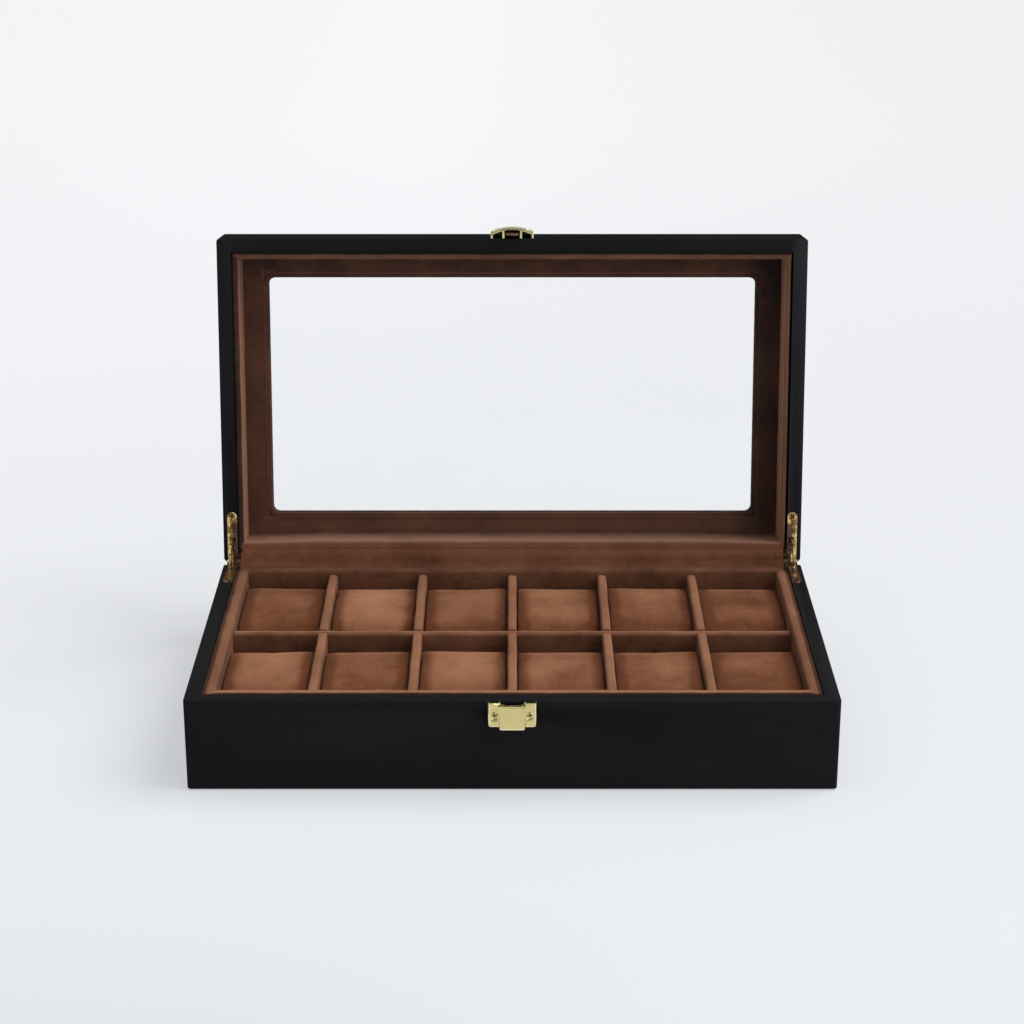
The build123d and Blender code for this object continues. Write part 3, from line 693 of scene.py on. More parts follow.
def carried_round(section, half_x, half_y, radius, **steps):
    """Carry a section of (inset, height) round a rectangle: each of its points becomes a loop
    that is smaller by the inset and lies at the height."""
    return np.stack([
        level_loop(half_x - inset, half_y - inset, max(radius - inset, 0.4 * MM), height, **steps)
        for inset, height in section
    ])


print("outlines ready")

# %% [markdown]
# Handwork is never quite even, and suede shows where it was brushed. So two more helpers shift
# points by soft waves and paint values on a piece; on suede the painted value also carries
# painted light and shade. A value is painted on points and spreads evenly over a face, so it
# can only change where the mesh has points.

# %% Painted values and uneven points
def paint(piece, label, value):
    """Give each point of a piece a value that a material can read by its label."""
    fields = piece.data.attributes
    if label not in fields:
        fields.new(label, "FLOAT", "POINT")
    spread_out = np.broadcast_to(value, len(piece.data.vertices)).astype(np.float32)
    fields[label].data.foreach_set("value", spread_out)


def painted_on(piece, label):
    """The values that were painted on a piece under a label."""
    value = np.empty(len(piece.data.vertices), np.float32)
    piece.data.attributes[label].data.foreach_get("value", value)
    return value


def paint_nap_and_light(piece, nap):
    """Paint the value that the suedes read, their nap together with painted light and shade, worked out from
    the points.
    """
    paint(piece, "nap_and_painted_light", nap(points_of(piece.data)))


def ease(value, low, high):
    """A smooth step from 0 at the low value to 1 at the high one: three t squared minus two t
    cubed."""
    t = np.clip((value - low) / (high - low), 0, 1)
    return t * t * (3 - 2 * t)


WAVES = np.array([[211.0, 157, 330], [-173, 290, 121], [402, -219, -260], [97, 61, -143]])


def uneven(points, amount, phase=0.0):
    """Shift each point a little, by sines of its place with waves from 12 to 35 mm long."""
    wave = np.sin(points @ WAVES.T + phase + np.array([0.3, 1.7, 4.1, 2.6]))
    shift = wave[..., :3] * 0.6 + wave[..., [3, 0, 1]] * 0.4
    return points + amount * shift


print("painting helpers ready; waves in mm:", np.round(2 * math.pi / np.linalg.norm(WAVES, axis=1) / MM, 1))

# %% [markdown]
# ## Softer edges on the CAD parts
#
# A machined or lacquered edge is never knife sharp, and it is the soft edge that catches the
# light. A Bevel modifier would do for a clean mesh, but a CAD mesh is loose triangles. So the
# metal parts and the wooden frames are copied, their triangles are joined to larger faces, and
# their long edges are bevelled by a hair. The four sides of a wooden frame become one piece,
# because lacquer covers the mitres: the faces inside the joints are dropped.
#
# Two values are painted on the copies. One marks the bevels. The other says how sheltered a
# point is: short rays go out from it, and the share that is stopped tells how deep it lies.

# %% Merge, unmitre and measure shelter
def merged_copy(nodes):
    """One bmesh of several CAD nodes, with common points merged."""
    build = bmesh.new()
    for node in nodes:
        build.from_mesh(frame["nodes"][node].data)
    bmesh.ops.remove_doubles(build, verts=build.verts, dist=3e-6)
    return build


def drop_mitres(build, half, shut):
    """Delete the faces inside mitred joints. Such a face stands across the diagonal of a corner:
    its normal has equal parts along X and Y, and the four corners give them their signs."""
    inside = []
    for face in build.faces:
        centre, normal = np.array(face.calc_center_median()), np.array(face.normal)
        if shut:
            centre, normal = turned(centre, -OPEN), turned(normal + HINGE, -OPEN) - HINGE
        off = (half[0] - abs(centre[0])) - (half[1] - abs(centre[1]))
        across = normal[0] * normal[1] * centre[0] * centre[1]
        if abs(off) < 0.05 * MM and across < 0 and abs(abs(normal[0]) - abs(normal[1])) < 0.01:
            inside.append(face)
    bmesh.ops.delete(build, geom=inside, context="FACES")
    bmesh.ops.remove_doubles(build, verts=build.verts, dist=3e-6)


def shelter(build, reach=6 * MM, rays=24):
    """The share of short rays from each point that hit the piece itself. The rays are spread
    over a half sphere by the golden angle."""
    tree = BVHTree.FromBMesh(build)
    k = np.arange(rays) + 0.5
    lift, flat, turn = np.sqrt(1 - k / rays), np.sqrt(k / rays), k * math.pi * (3 - math.sqrt(5))
    spray = np.stack([flat * np.cos(turn), flat * np.sin(turn), lift], -1)
    # the share darkens the brass to its film: partly tarnish, partly painted shade
    layer = build.verts.layers.float.new("tarnish_and_shade")
    for vert in build.verts:
        upright = Vector((0, 0, 1)).rotation_difference(vert.normal)
        start = vert.co + vert.normal * 0.05 * MM
        stopped = sum(tree.ray_cast(start, upright @ Vector(ray), reach)[0] is not None for ray in spray)
        vert[layer] = stopped / rays


print("merging helpers ready")

# %% [markdown]
# A border is a plane that cuts the faces of a copy. It is needed for two things: a painted
# value can stop at a cut, and the front of a stamped metal part gets a painted highlight beyond
# it, along its rim.

# %% Ease the edges
def eased(
    name, nodes, material, body, slot, width, longer, mitres=None, shut=False, borders=(), sheltered=False
):
    """A copy of CAD nodes whose sharp edges, from a given length up, are bevelled. It is cut by
    each border, and the front faces beyond one are marked like the bevels, for a painted highlight."""
    build = merged_copy(nodes)
    if mitres is not None:
        drop_mitres(build, mitres, shut)
    bmesh.ops.dissolve_limit(build, angle_limit=math.radians(1.5), verts=build.verts, edges=build.edges)
    sharp = [
        e for e in build.edges
        if len(e.link_faces) == 2 and e.calc_face_angle(0) > math.radians(35) and e.calc_length() > longer
    ]
    # the edge value marks where brass gets a painted highlight: on the bevels, and on the fronts beyond a
    # border
    edge = build.faces.layers.float.new("edge")
    made = bmesh.ops.bevel(
        build, geom=sharp, offset=width, segments=2, profile=0.5, affect="EDGES", clamp_overlap=True
    )
    for face in made["faces"]:
        face[edge] = 1.0
    for point, direction in borders:
        everything = build.verts[:] + build.edges[:] + build.faces[:]
        bmesh.ops.bisect_plane(build, geom=everything, dist=1e-6, plane_co=point, plane_no=direction)
    for face in build.faces:
        centre = face.calc_center_median()
        if face.normal.y < -0.999 and any((centre - Vector(p)).dot(Vector(d)) > 0 for p, d in borders):
            face[edge] = 0.8
    if sheltered:
        shelter(build)
    bmesh.ops.triangulate(build, faces=[f for f in build.faces if len(f.verts) > 4])
    mesh = bpy.data.meshes.new(name)
    build.to_mesh(mesh)
    build.free()
    piece = set_up(name, mesh, material, body, 32, outward=False)
    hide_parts(*nodes)
    print(name, len(sharp), "edges eased,", len(mesh.polygons), "faces")
    return piece


print("ready to ease edges")

# %% [markdown]
# The wood comes first. A painted sheen on the lacquer is painted on: the whole lid is a little
# greyer, and its rim at each side more, the right one most, where the light falls, so the lid is
# cut just inside both ends of its rim. On the base it grows evenly from left to right, towards
# the key lamp.

# %% Eased wood
WOOD = {"slot": "lacquered_wood", "width": 0.35 * MM, "longer": 6 * MM}
SIDES = ("front", "rear", "left", "right")
cad_half = np.abs(node_points("base_front_wall")[:, :2]).max(0)
base_walls = [f"base_{side}_wall" for side in SIDES]
base_frame = eased("base_frame", base_walls, lacquer, "base", mitres=cad_half, **WOOD)
across = points_of(base_frame.data)[:, 0]
# painted sheen on the base: greyer towards the right, where the key lamp shines from
paint(base_frame, "painted_sheen", 0.10 * ease(across, -cad_half[0], cad_half[0]))

lid_walls = [f"lid_{side}_wall" for side in SIDES]
rim_end = cad_half[0] - 9 * MM
rim_ends = [((rim_end, 0, 0), (1, 0, 0)), ((-rim_end, 0, 0), (-1, 0, 0))]
lid_frame = eased(
    "lid_frame", lid_walls, dull_lacquer, "lid", mitres=cad_half, shut=True, borders=rim_ends, **WOOD
)
across, _, height = turned(points_of(lid_frame.data), -OPEN).T
on_rim = ease(height, RIM + 0.8 * MM, RIM + 0.6 * MM)
at_left, at_right = (ease(side * across, rim_end, rim_end + 0.6 * MM) for side in (-1, 1))
# painted sheen on the lid: a little everywhere, more on both rims, the right one most, where the light falls
paint(lid_frame, "painted_sheen", 0.23 + (0.11 * at_left + 0.52 * at_right) * on_rim)
eased("lid_panel_eased", ["lid_top_panel"], dull_lacquer, "lid", **WOOD)

# %% [markdown]
# The metal follows. The lock plate and the button are stamped, with a painted highlight as a
# border on their fronts: at both ends and the lower edge of the plate's wings, and along the
# button's lower edge. The keeper's tongue is painted dark inside, as painted shade.

# %% Eased metal
METAL = {"slot": "gilt_brass", "width": 0.16 * MM, "longer": 0.9 * MM, "sheltered": True}
BORDER = 0.8 * MM
plate_points = node_points("lock_plate")
plate_half = plate_points[:, 0].max()
wing_low = plate_points[np.abs(plate_points[:, 0]) > plate_half - 2 * MM][:, 2].min()
button_low = node_points("push_button")[:, 2].min()
highlight_borders = {
    "lock_plate": [
        ((plate_half - BORDER, 0, 0), (1, 0, 0)),
        ((BORDER - plate_half, 0, 0), (-1, 0, 0)),
        ((0, 0, wing_low + BORDER), (0, 0, -1)),
    ],
    "push_button": [((0, 0, button_low + 1.7 * BORDER), (0, 0, -1))],
}
metal = [("lock_plate", "base", brass), ("keeper", "lid", brass), ("push_button", "lock_button", brass)]
hands = ("left", "right")
metal += [(f"{side}_hinge_{body}_leaf", body, hinge_brass) for body in ("base", "lid") for side in hands]
metal += [(f"{side}_stay", f"{side}_stay", hinge_brass) for side in hands]
for node, body, material in metal:
    piece = eased(node + "_eased", [node], material, body, borders=highlight_borders.get(node, ()), **METAL)
    # painted shade: the keeper's tongue is painted fully dark inside the arch
    if node == "keeper":
        shut = turned(points_of(piece.data), -OPEN)
        inside = (np.abs(shut[:, 0]) < 4.3 * MM) & (shut[:, 1] > shut[:, 1].min() + 1.7 * MM)
        paint(piece, "tarnish_and_shade", np.maximum(painted_on(piece, "tarnish_and_shade"), inside))

# %% [markdown]
# ## Screws
#
# The screws of the CAD model are plain cones on rods. A real one has a cross recess that a
# driver fits, and a thread. Cutting a cross out of a cone with a boolean leaves a rough mesh.
# Here the whole screw is loops about its axis instead. The outline of the cross is the same
# kind of loop: in every direction it is the farther of two arms, each as far away as its end
# or its side allows.

# %% The form of a screw
THREAD = 0.8 * MM


def cross_outline(angle, half_width, reach):
    """How far a plus sign reaches in each direction: along an arm up to its end, and else until
    its side is met, at half its width over the sine."""
    c, s = np.abs(np.cos(angle)) + 1e-9, np.abs(np.sin(angle)) + 1e-9
    return np.maximum(np.minimum(reach / c, half_width / s), np.minimum(reach / s, half_width / c))


def screw_loops(head, shank, length, dome, turn):
    """Loops of a countersunk screw from the bottom of its recess over the head to its tip. The
    head lies at height 0 and the shank goes down. The thread is a ripple round the shank."""
    half_width, reach = 0.20 * head, 0.70 * head
    corner, eighth = math.atan2(half_width, reach), math.pi / 4
    first_half = np.array([0, corner * 0.97, corner * 1.03, eighth * 0.98])
    second_half = np.array([eighth * 1.02, 2 * eighth - corner * 1.03, 2 * eighth - corner * 0.97])
    quarter = np.concatenate([first_half, second_half])
    angle = np.concatenate([quarter + k * math.pi / 2 for k in range(4)])
    cross = cross_outline(angle, half_width, reach)
    deep, throat = 0.42 * head, -(head - shank)

    def top(radius):
        """The domed head: a parabola from its middle to its rim."""
        return dome * (1 - (radius / head) ** 2)

    loops = [(cross * 0.02, -deep), (cross * 0.70, -deep * 0.9)]
    loops += [(radius, top(radius)) for radius in (cross, cross * 1.04)]
    loops += [(share * head, top(share * head)) for share in (0.78, 0.90, 0.97)]
    loops += [(head, -0.04 * MM), (shank, throat)]
    for ripple in range(2 * int(length / THREAD)):
        height = throat - (ripple + 1) * THREAD / 2
        if height > -length:
            loops.append((shank * (1.0 if ripple % 2 else 0.78), height))
    loops += [(shank * 0.7, -length), (shank * 0.05, -length)]
    radius = np.stack([np.broadcast_to(r, len(angle)) for r, _ in loops])
    height = np.stack([np.broadcast_to(h, len(angle)) for _, h in loops])
    return np.stack([radius * np.cos(angle + turn), radius * np.sin(angle + turn), height], -1)


print("loops in a screw:", len(screw_loops(1.8 * MM, 0.9 * MM, 8 * MM, 0, 0)))

# %% [markdown]
# Each screw takes the place and the sizes of its CAD stand-in, which are measured on the CAD
# mesh. Whoever drove them left every cross at an angle of its own. The recess is painted dark
# with its depth, as painted shade and film.

# %% Screws in their places
def islands(node):
    """The separate shells of a CAD node, as arrays of points."""
    build = merged_copy([node])
    left, found = set(build.verts), []
    while left:
        stack, shell = [left.pop()], []
        while stack:
            vert = stack.pop()
            shell.append(tuple(vert.co))
            for other in (e.other_vert(vert) for e in vert.link_edges):
                if other in left:
                    left.discard(other)
                    stack.append(other)
        found.append(np.array(shell))
    build.free()
    return sorted(found, key=lambda p: tuple(np.round(p.mean(0), 4)))


def screws(node, out, body, material, dome, chance):
    """New screws in the places of a node's. The direction out of their heads, which lie in one
    plane, is along one axis, in the closed lid for screws of the lid."""
    axis = int(np.argmax(np.abs(out)))
    sign = out[axis]
    flat = [k for k in range(3) if k != axis]
    opened = OPEN if body == "lid" else 0
    grids = []
    for shell in islands(node):
        shell = turned(shell, -opened)
        low, high = shell.min(0), shell.max(0)
        head = (high - low)[flat].mean() / 2
        length = (high - low)[axis]
        face = high[axis] if sign > 0 else low[axis]
        tip = shell[np.abs(shell[:, axis] - (face - sign * length)) < 0.02 * MM]
        shank = (tip.max(0) - tip.min(0))[flat].mean() / 2
        local = screw_loops(head, shank, length, dome, chance.uniform(0, math.pi / 2))
        grid = np.empty_like(local)
        grid[..., flat] = ((low + high) / 2)[flat] + local[..., :2]
        grid[..., axis] = face + sign * local[..., 2]
        grids.append(turned(grid, opened))
    piece = new_piece(node + "_crossed", *joined(grids), material, body, "gilt_brass", 35)
    depth = sign * (face - turned(points_of(piece.data), -opened)[:, axis])
    # the recess is painted dark with its depth: painted shade and film
    paint(piece, "tarnish_and_shade", 0.9 * ease(depth, 0.12 * MM, 0.45 * MM))
    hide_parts(node)
    print(node, len(grids), "screws, head", round(2 * head / MM, 1), "mm")


chance = np.random.default_rng(3)
screws("lock_screws", (0, -1, 0), "base", brass, 0.30 * MM, chance)
screws("keeper_screws", (0, -1, 0), "lid", brass, 0.30 * MM, chance)
screws("base_hinge_screws", (0, 0, 1), "base", hinge_brass, 0.08 * MM, chance)
screws("lid_hinge_screws", (0, 0, -1), "lid", hinge_brass, 0.08 * MM, chance)

# %% [markdown]
# ## The tray
#
# The base is lined with an open tray of thin boards wrapped in suede. Its top edge is softly
# rounded, because padding lies under the suede. A section of the board is carried once round
# the box, so the corners are mitred as the real ones are. At both ends the wrapping bulges
# towards the wall, so that no dark gap shows between the suede and the wood.

# %% Tray
liner_low, liner_high = box_of("base_right_liner")
TRAY_X, TRAY_Y = liner_high[0], box_of("base_rear_liner")[1][1]
LINER = liner_high[0] - liner_low[0]
FLOOR, TOP = liner_low[2], liner_high[2]
GAP = box_of("base_right_wall")[0][0] - TRAY_X


def board_section(thickness, low, high, radius):
    """The section of a wrapped board: straight sides, divided so that they can be uneven, and
    two round edges at the top."""
    corners = [(0, low), (0, high), (thickness, high), (thickness, low)]
    return divided(rounded(corners, [0, radius, radius, 0]), 4 * MM, 8)


section = board_section(LINER, FLOOR, TOP, 1.7 * MM)
points = carried_round(section, TRAY_X, TRAY_Y, 1.2 * MM, side_steps=60)
below_top = TOP - points[..., 2]
outer = ease(np.abs(points[..., 0]), TRAY_X - 0.6 * MM, TRAY_X - 0.1 * MM)
belly = ease(below_top, 0.1 * MM, 1.9 * MM) * (0.4 + 0.6 * ease(below_top, 14 * MM, 4 * MM))
points[..., 0] += np.sign(points[..., 0]) * outer * belly * (GAP - 0.15 * MM)
points[..., 2] = np.maximum(uneven(points, 0.10 * MM)[..., 2], FLOOR)
faces = grid_faces(*points.shape[:2], ring=True)
tray = new_piece("suede_tray", points, faces, lining_suede, "base")


def tray_painted_light(points):
    """Painted light and shade: a painted highlight along the padded top edge, most of all at the
    front, painted shade at the back, on the outer side and just past the front's top edge, where
    the suede turns down to the wood."""
    back, front = (ease(way * points[:, 1], TRAY_Y - 7 * MM, TRAY_Y - 5 * MM) for way in (1, -1))
    front = front * (np.abs(points[:, 0]) < TRAY_X - 5.5 * MM)
    outside = ease(np.abs(points[:, 0]), TRAY_X - 1.2 * MM, TRAY_X + 0.3 * MM)
    upper = ease(points[:, 2], TOP - 2 * MM, TOP)
    turn_down_shade = ease(-points[:, 1], TRAY_Y - 1.6 * MM, TRAY_Y - 0.6 * MM)
    edge = (0.16 - 0.25 * back + 0.38 * front) * upper
    return 0.41 - 0.05 * back + edge - 0.52 * outside - 0.95 * front * turn_down_shade


paint_nap_and_light(tray, tray_painted_light)
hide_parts("base_front_liner", "base_rear_liner", "base_left_liner", "base_right_liner")
print("tray:", len(tray.data.polygons), "faces, thickness", round(LINER / MM, 2))

# %% [markdown]
# ## The dividers
#
# One long divider runs from side to side, and ten short ones stand against it and the tray.
# Each is a board wrapped in suede with a soft top. Where it meets its neighbour, the wrapping is
# tucked down, so the last two millimetres of the top slope away. A section carried along a
# line makes it, and the tuck is only a change of height near both ends.

# %% Dividers
ROUND_TOP = 1.6 * MM
TUCK = 0.9 * MM
TUCK_RUN = 2.4 * MM


def wrapped_board(start, end, thickness, high, stations=40):
    """The board's section, carried along a line on the floor. Near both ends the height is
    scaled down along a quarter circle, so the top curves into the end."""
    section = board_section(thickness, FLOOR, high, ROUND_TOP)
    section[:, 0] -= thickness / 2
    start, end = np.asarray(start, float), np.asarray(end, float)
    length = np.linalg.norm(end - start)
    ahead = (end - start) / length
    side = np.array([ahead[1], -ahead[0]])
    near = np.linspace(0, 1, 7) ** 1.5 * TUCK_RUN
    between = np.linspace(near[-1], length - near[-1], stations)
    along = np.unique(np.concatenate([near, between, length - near]))
    away = np.clip(np.minimum(along, length - along) / near[-1], 0, 1)
    drop = TUCK * (1 - np.sqrt(1 - (1 - away) ** 2))
    scale = (high - FLOOR - drop) / (high - FLOOR)
    place = start + along[:, None] * ahead
    flat = place[:, None, :] + section[None, :, 0:1] * side
    height = FLOOR + (section[None, :, 1] - FLOOR) * scale[:, None]
    return np.concatenate([flat, height[..., None]], -1)


def divider(node, boards, nap):
    """A divider of one or two wrapped boards, in the place of its CAD node."""
    piece = new_piece(node + "_wrapped", *joined(boards), lining_suede, "base")
    paint_nap_and_light(piece, nap)
    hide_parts(node)


def long_painted_light(points, top):
    """Painted light: lighter on the top, with a painted sheen most of all on its far side."""
    far_side_sheen = ease(points[:, 1], -0.6 * MM, 1.4 * MM)
    return 0.40 + (0.06 + 0.50 * far_side_sheen) * ease(points[:, 2], top - 2 * MM, top)


def cross_nap_and_light(points, top, phase):
    """A painted highlight on the top, with soft strokes of nap along the board."""
    return 0.42 + 0.34 * ease(points[:, 2], top - 3 * MM, top) + 0.06 * np.sin(points[:, 1] * 90 + phase)


low, high = box_of("long_divider")
THICK = high[1] - low[1]
wrapped = wrapped_board((low[0], 0), (high[0], 0), THICK, high[2], stations=120)
divider("long_divider", [uneven(wrapped, 0.12 * MM, 1.0)], lambda points: long_painted_light(points, high[2]))

for number in range(1, 6):
    low, high = box_of(f"cross_divider_{number}")
    middle = (low[0] + high[0]) / 2
    boards = []
    for start, end in ((THICK / 2, high[1]), (low[1], -THICK / 2)):
        wrapped = wrapped_board((middle, start), (middle, end), high[0] - low[0], high[2])
        boards.append(uneven(wrapped, 0.12 * MM, 2.0 * number + start * 50))
    divider(f"cross_divider_{number}", boards, lambda points: cross_nap_and_light(points, high[2], number * 2.1))
print("dividers: 6, thickness", round(THICK / MM, 2))

# %% [markdown]
# ## The lid's lining
#
# The lid has a thinner lining round its inside. It is shaped in the closed lid, as the tray is,
# and then turned open. Its outer side is pushed out towards the wood, as padding does, a little
# less at the right. Along the hinge line it is drawn in again, because the strip that covers
# the joint is tucked in behind it.

# %% Lid lining
low, high = closed_box("lid_rear_liner")
LID_X, LID_Y = closed_box("lid_right_liner")[1][0], high[1]
LID_RIM = low[2]
THIN = high[1] - low[1]
FILL = 1.35 * MM
section = [(0, high[2]), (0, LID_RIM), (THIN + FILL, LID_RIM), (THIN + FILL, high[2])]
section = rounded(section, [0, 1.7 * MM, 1.3 * MM, 0])
points = carried_round(section, LID_X + FILL, LID_Y + FILL, 1.0 * MM, side_steps=60)
back = ease(points[..., 1], LID_Y - 4 * MM, LID_Y - 1.6 * MM)
back = back * ease(LID_X - np.abs(points[..., 0]), 3 * MM, 45 * MM)
points[..., 1] -= 1.2 * MM * back * ease(LID_Y + FILL - points[..., 1], 0.5 * MM, 2.5 * MM)
points[..., 0] -= 0.75 * MM * ease(points[..., 0], LID_X - 0.2 * MM, LID_X + FILL)
points = turned(uneven(points, 0.10 * MM, 3.0), OPEN)
faces = grid_faces(*points.shape[:2], ring=True)
lining = new_piece("lid_lining", points, faces, lid_shaded_suede, "lid")


def lid_painted_light(points):
    """Painted light and shade on the lining: lit on the inner faces of both sides, shaded on
    their rims, the left one most, and lit near the rim of the low side by the hinges, shaded
    deeper down. Apart from that side, painted shade where it turns down to the wood."""
    shut = turned(points, -OPEN)
    height = shut[:, 2] - LID_RIM
    out_x, out_y = np.abs(shut[:, 0]) - LID_X, np.abs(shut[:, 1]) - LID_Y
    inner = ease(height, 0.2 * MM, 1.1 * MM)
    side = np.where(shut[:, 0] < 0, 0.04 + 0.80 * inner, 0.40 + 0.55 * inner)
    low_side = 0.02 + 0.72 * ease(height, 14 * MM, 2 * MM)
    low_side = low_side * (1 - 0.45 * ease(out_y, -2.2 * MM, -0.8 * MM))
    end = np.where(shut[:, 1] < 0, 0.34, low_side)
    by_hinges = (shut[:, 1] > 0) & (out_y > out_x)
    turn_down_shade = np.where(by_hinges, 0.0, 0.8) * ease(np.maximum(out_x, out_y), 0.1 * MM, 1.0 * MM)
    return np.where(out_x > out_y, side, end) * (1 - turn_down_shade)


paint_nap_and_light(lining, lid_painted_light)
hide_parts("lid_front_liner", "lid_rear_liner", "lid_left_liner", "lid_right_liner")
print("lid lining:", len(lining.data.polygons), "faces")

# %% [markdown]
# ## The window's mat
#
# A flat board with a raised lip frames the window. The lip is a low bead, where the suede goes
# round the board's edge. Loops round the window make it, like the tray, but from the inside
# out: each keeps the window's round corners and grows by its own amount.

# %% Window mat
mat_low, mat_high = closed_box("window_mat")
mat_points = turned(node_points("window_mat"), -OPEN)
lip_edge = mat_points[np.abs(mat_points[:, 2] - mat_low[2]) < 0.01 * MM]
LIP_WIDTH = 3.0 * MM
LIP = 0.8 * MM
WIN_X, WIN_Y = np.abs(lip_edge[:, :2]).max(0) - LIP_WIDTH
WIN_R = 4.2 * MM
LEVEL = mat_low[2] + LIP
FINE = {"side_steps": 60, "corner_steps": 8}


def mat_loops(growths, heights):
    """Loops round the window, each grown by its own amount, its corners growing with it."""
    return [
        level_loop(WIN_X + growth, WIN_Y + growth, WIN_R + growth, height, **FINE)
        for growth, height in zip(growths, heights)
    ]


across = np.linspace(0, math.pi, 9)
bead = mat_loops(1.7 * MM - 1.7 * MM * np.cos(across), LEVEL - LIP * np.sin(across) ** 0.7)
inside = mat_loops([0, 0], [mat_high[2], LEVEL])
flat = mat_loops([4.2 * MM, 6 * MM, 9 * MM], [LEVEL] * 3)
outside = [level_loop(mat_high[0], mat_high[1], 0.4 * MM, height, **FINE) for height in (LEVEL, mat_high[2])]
points = np.stack(inside + bead[1:] + flat + outside)
opened = turned(points, OPEN)
mat_bottom, mat_top = opened[..., 2].min(), opened[..., 2].max()
points[..., 2] = np.minimum(uneven(points, 0.07 * MM, 5.0)[..., 2], mat_high[2])
faces = grid_faces(*points.shape[:2], ring=True)
mat = new_piece("window_mat_wrapped", turned(points, OPEN), faces, mat_shaded_suede, "lid")


def mat_painted_light(points):
    """A painted highlight along the bead and painted shade next to it. Painted shadow makes the
    mat darker to the right and the top, where the lid's walls shade it, and painted light makes
    it lighter at the bottom."""
    shut = turned(points, -OPEN)
    grown = np.maximum(np.abs(shut[:, 0]) - WIN_X, np.abs(shut[:, 1]) - WIN_Y)
    bead_highlight = np.exp(-((grown - 2.9 * MM) / (0.6 * MM)) ** 2)
    shade_beside_bead = ease(grown, 2.3 * MM, 1.6 * MM) * ease(grown, 0.2 * MM, 0.9 * MM)
    right = ease(points[:, 0], WIN_X - 12 * MM, WIN_X + 5 * MM)
    top = ease(points[:, 2], mat_top - 26 * MM, mat_top - 8 * MM)
    bottom = ease(points[:, 2], mat_bottom + 18 * MM, mat_bottom + 8 * MM)
    line = 0.45 * bead_highlight * (1 - 0.6 * right) - 0.08 * shade_beside_bead
    return 0.40 + line - 0.30 * right - 0.16 * top + 0.16 * bottom


paint_nap_and_light(mat, mat_painted_light)
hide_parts("window_mat")
print("window", round(2 * WIN_X / MM, 1), "x", round(2 * WIN_Y / MM, 1))

# %% [markdown]
# ## The hinge strip
#
# A strip of the same suede covers the joint between the box and its lid. It is glued to both
# rims and folds along the hinge line, so it is one sheet that bends between two bodies. Its
# line, seen from the side, is worked out first: flat on the base's rim, round the fold in a
# curve drawn towards the hinge line, and up the lid's rim, where it is tucked in behind the
# lining. A skin of one thickness round that line, carried from side to side, is the strip.

# %% The line of the hinge strip
SKIN = 0.5 * MM
BEND = 7.2 * MM
strip_front = box_of("hinge_strip_base")[0][1]
lid_front, lid_rim = closed_box("hinge_strip_lid")[0][1:]
base_run = np.stack([np.linspace(strip_front, HINGE[1] - BEND, 7), np.full(7, RIM)], -1)
lid_run = np.stack([np.linspace(HINGE[1] - BEND, lid_front, 7), np.full(7, lid_rim)], -1)
tucked = [[lid_front - 0.45 * MM, lid_rim + 0.30 * MM], [lid_front - 0.9 * MM, lid_rim + 0.85 * MM]]
lid_run = np.concatenate([lid_run, tucked])
lid_run = turned(np.column_stack([np.zeros(len(lid_run)), lid_run]), OPEN)[:, 1:]


def fold_curve(start, pull, end):
    """A curve between two points that is drawn towards a third one: the three are mixed by the
    squares and the double product of the shares already gone and still to go."""
    t = np.linspace(0, 1, 12)[1:-1, None]
    return (1 - t) ** 2 * start + 2 * t * (1 - t) * pull + t ** 2 * end


fold = fold_curve(base_run[-1], np.array([HINGE[1], RIM]), lid_run[0])
line = np.concatenate([base_run, fold, lid_run])

# %% [markdown]
# The strip is blended between both bodies, so that it bends and isn't torn when the lid turns.

# %% Hinge strip
STRIP_X = box_of("right_hinge_base_leaf")[0][0] - 0.1 * MM
ahead = np.gradient(line, axis=0)
normal = np.stack([-ahead[:, 1], ahead[:, 0]], -1)
normal /= np.linalg.norm(normal, axis=1)[:, None]
ring = np.concatenate([line, (line - SKIN * normal)[::-1]])
stations = np.linspace(-STRIP_X, STRIP_X, 121)
points = np.empty((len(stations), len(ring), 3))
points[..., 0] = stations[:, None]
points[..., 1:] = ring
strip = new_piece("hinge_strip", *joined([uneven(points, 0.05 * MM, 6.0)]), strip_suede, None)


def strip_nap_and_light(points):
    """A painted light stripe a little above the fold, and fine strokes of nap."""
    painted_light_band = np.exp(-((points[:, 2] - RIM - 7.2 * MM) / (2.6 * MM)) ** 2)
    return 0.26 + 0.38 * painted_light_band + 0.04 * np.sin(points[:, 2] * 5200 + points[:, 0] * 12)


paint_nap_and_light(strip, strip_nap_and_light)
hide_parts("hinge_strip_base", "hinge_strip_lid")
on_base, on_lid = (0, HINGE[1] - 0.6 * BEND, HINGE[2]), (0, HINGE[1], HINGE[2] + 0.6 * BEND)
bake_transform(strip, "base", "lid", start=on_base, end=on_lid)

# %% [markdown]
# ## Floor lining and felt
#
# Suede also covers the floor of the tray, and a thin felt sheet is glued under the box. Both
# are flat, so a few level loops inside each other are enough: out over the top, over the edge
# and back in below. Only the top is uneven, because the underside lies on wood or on the table.

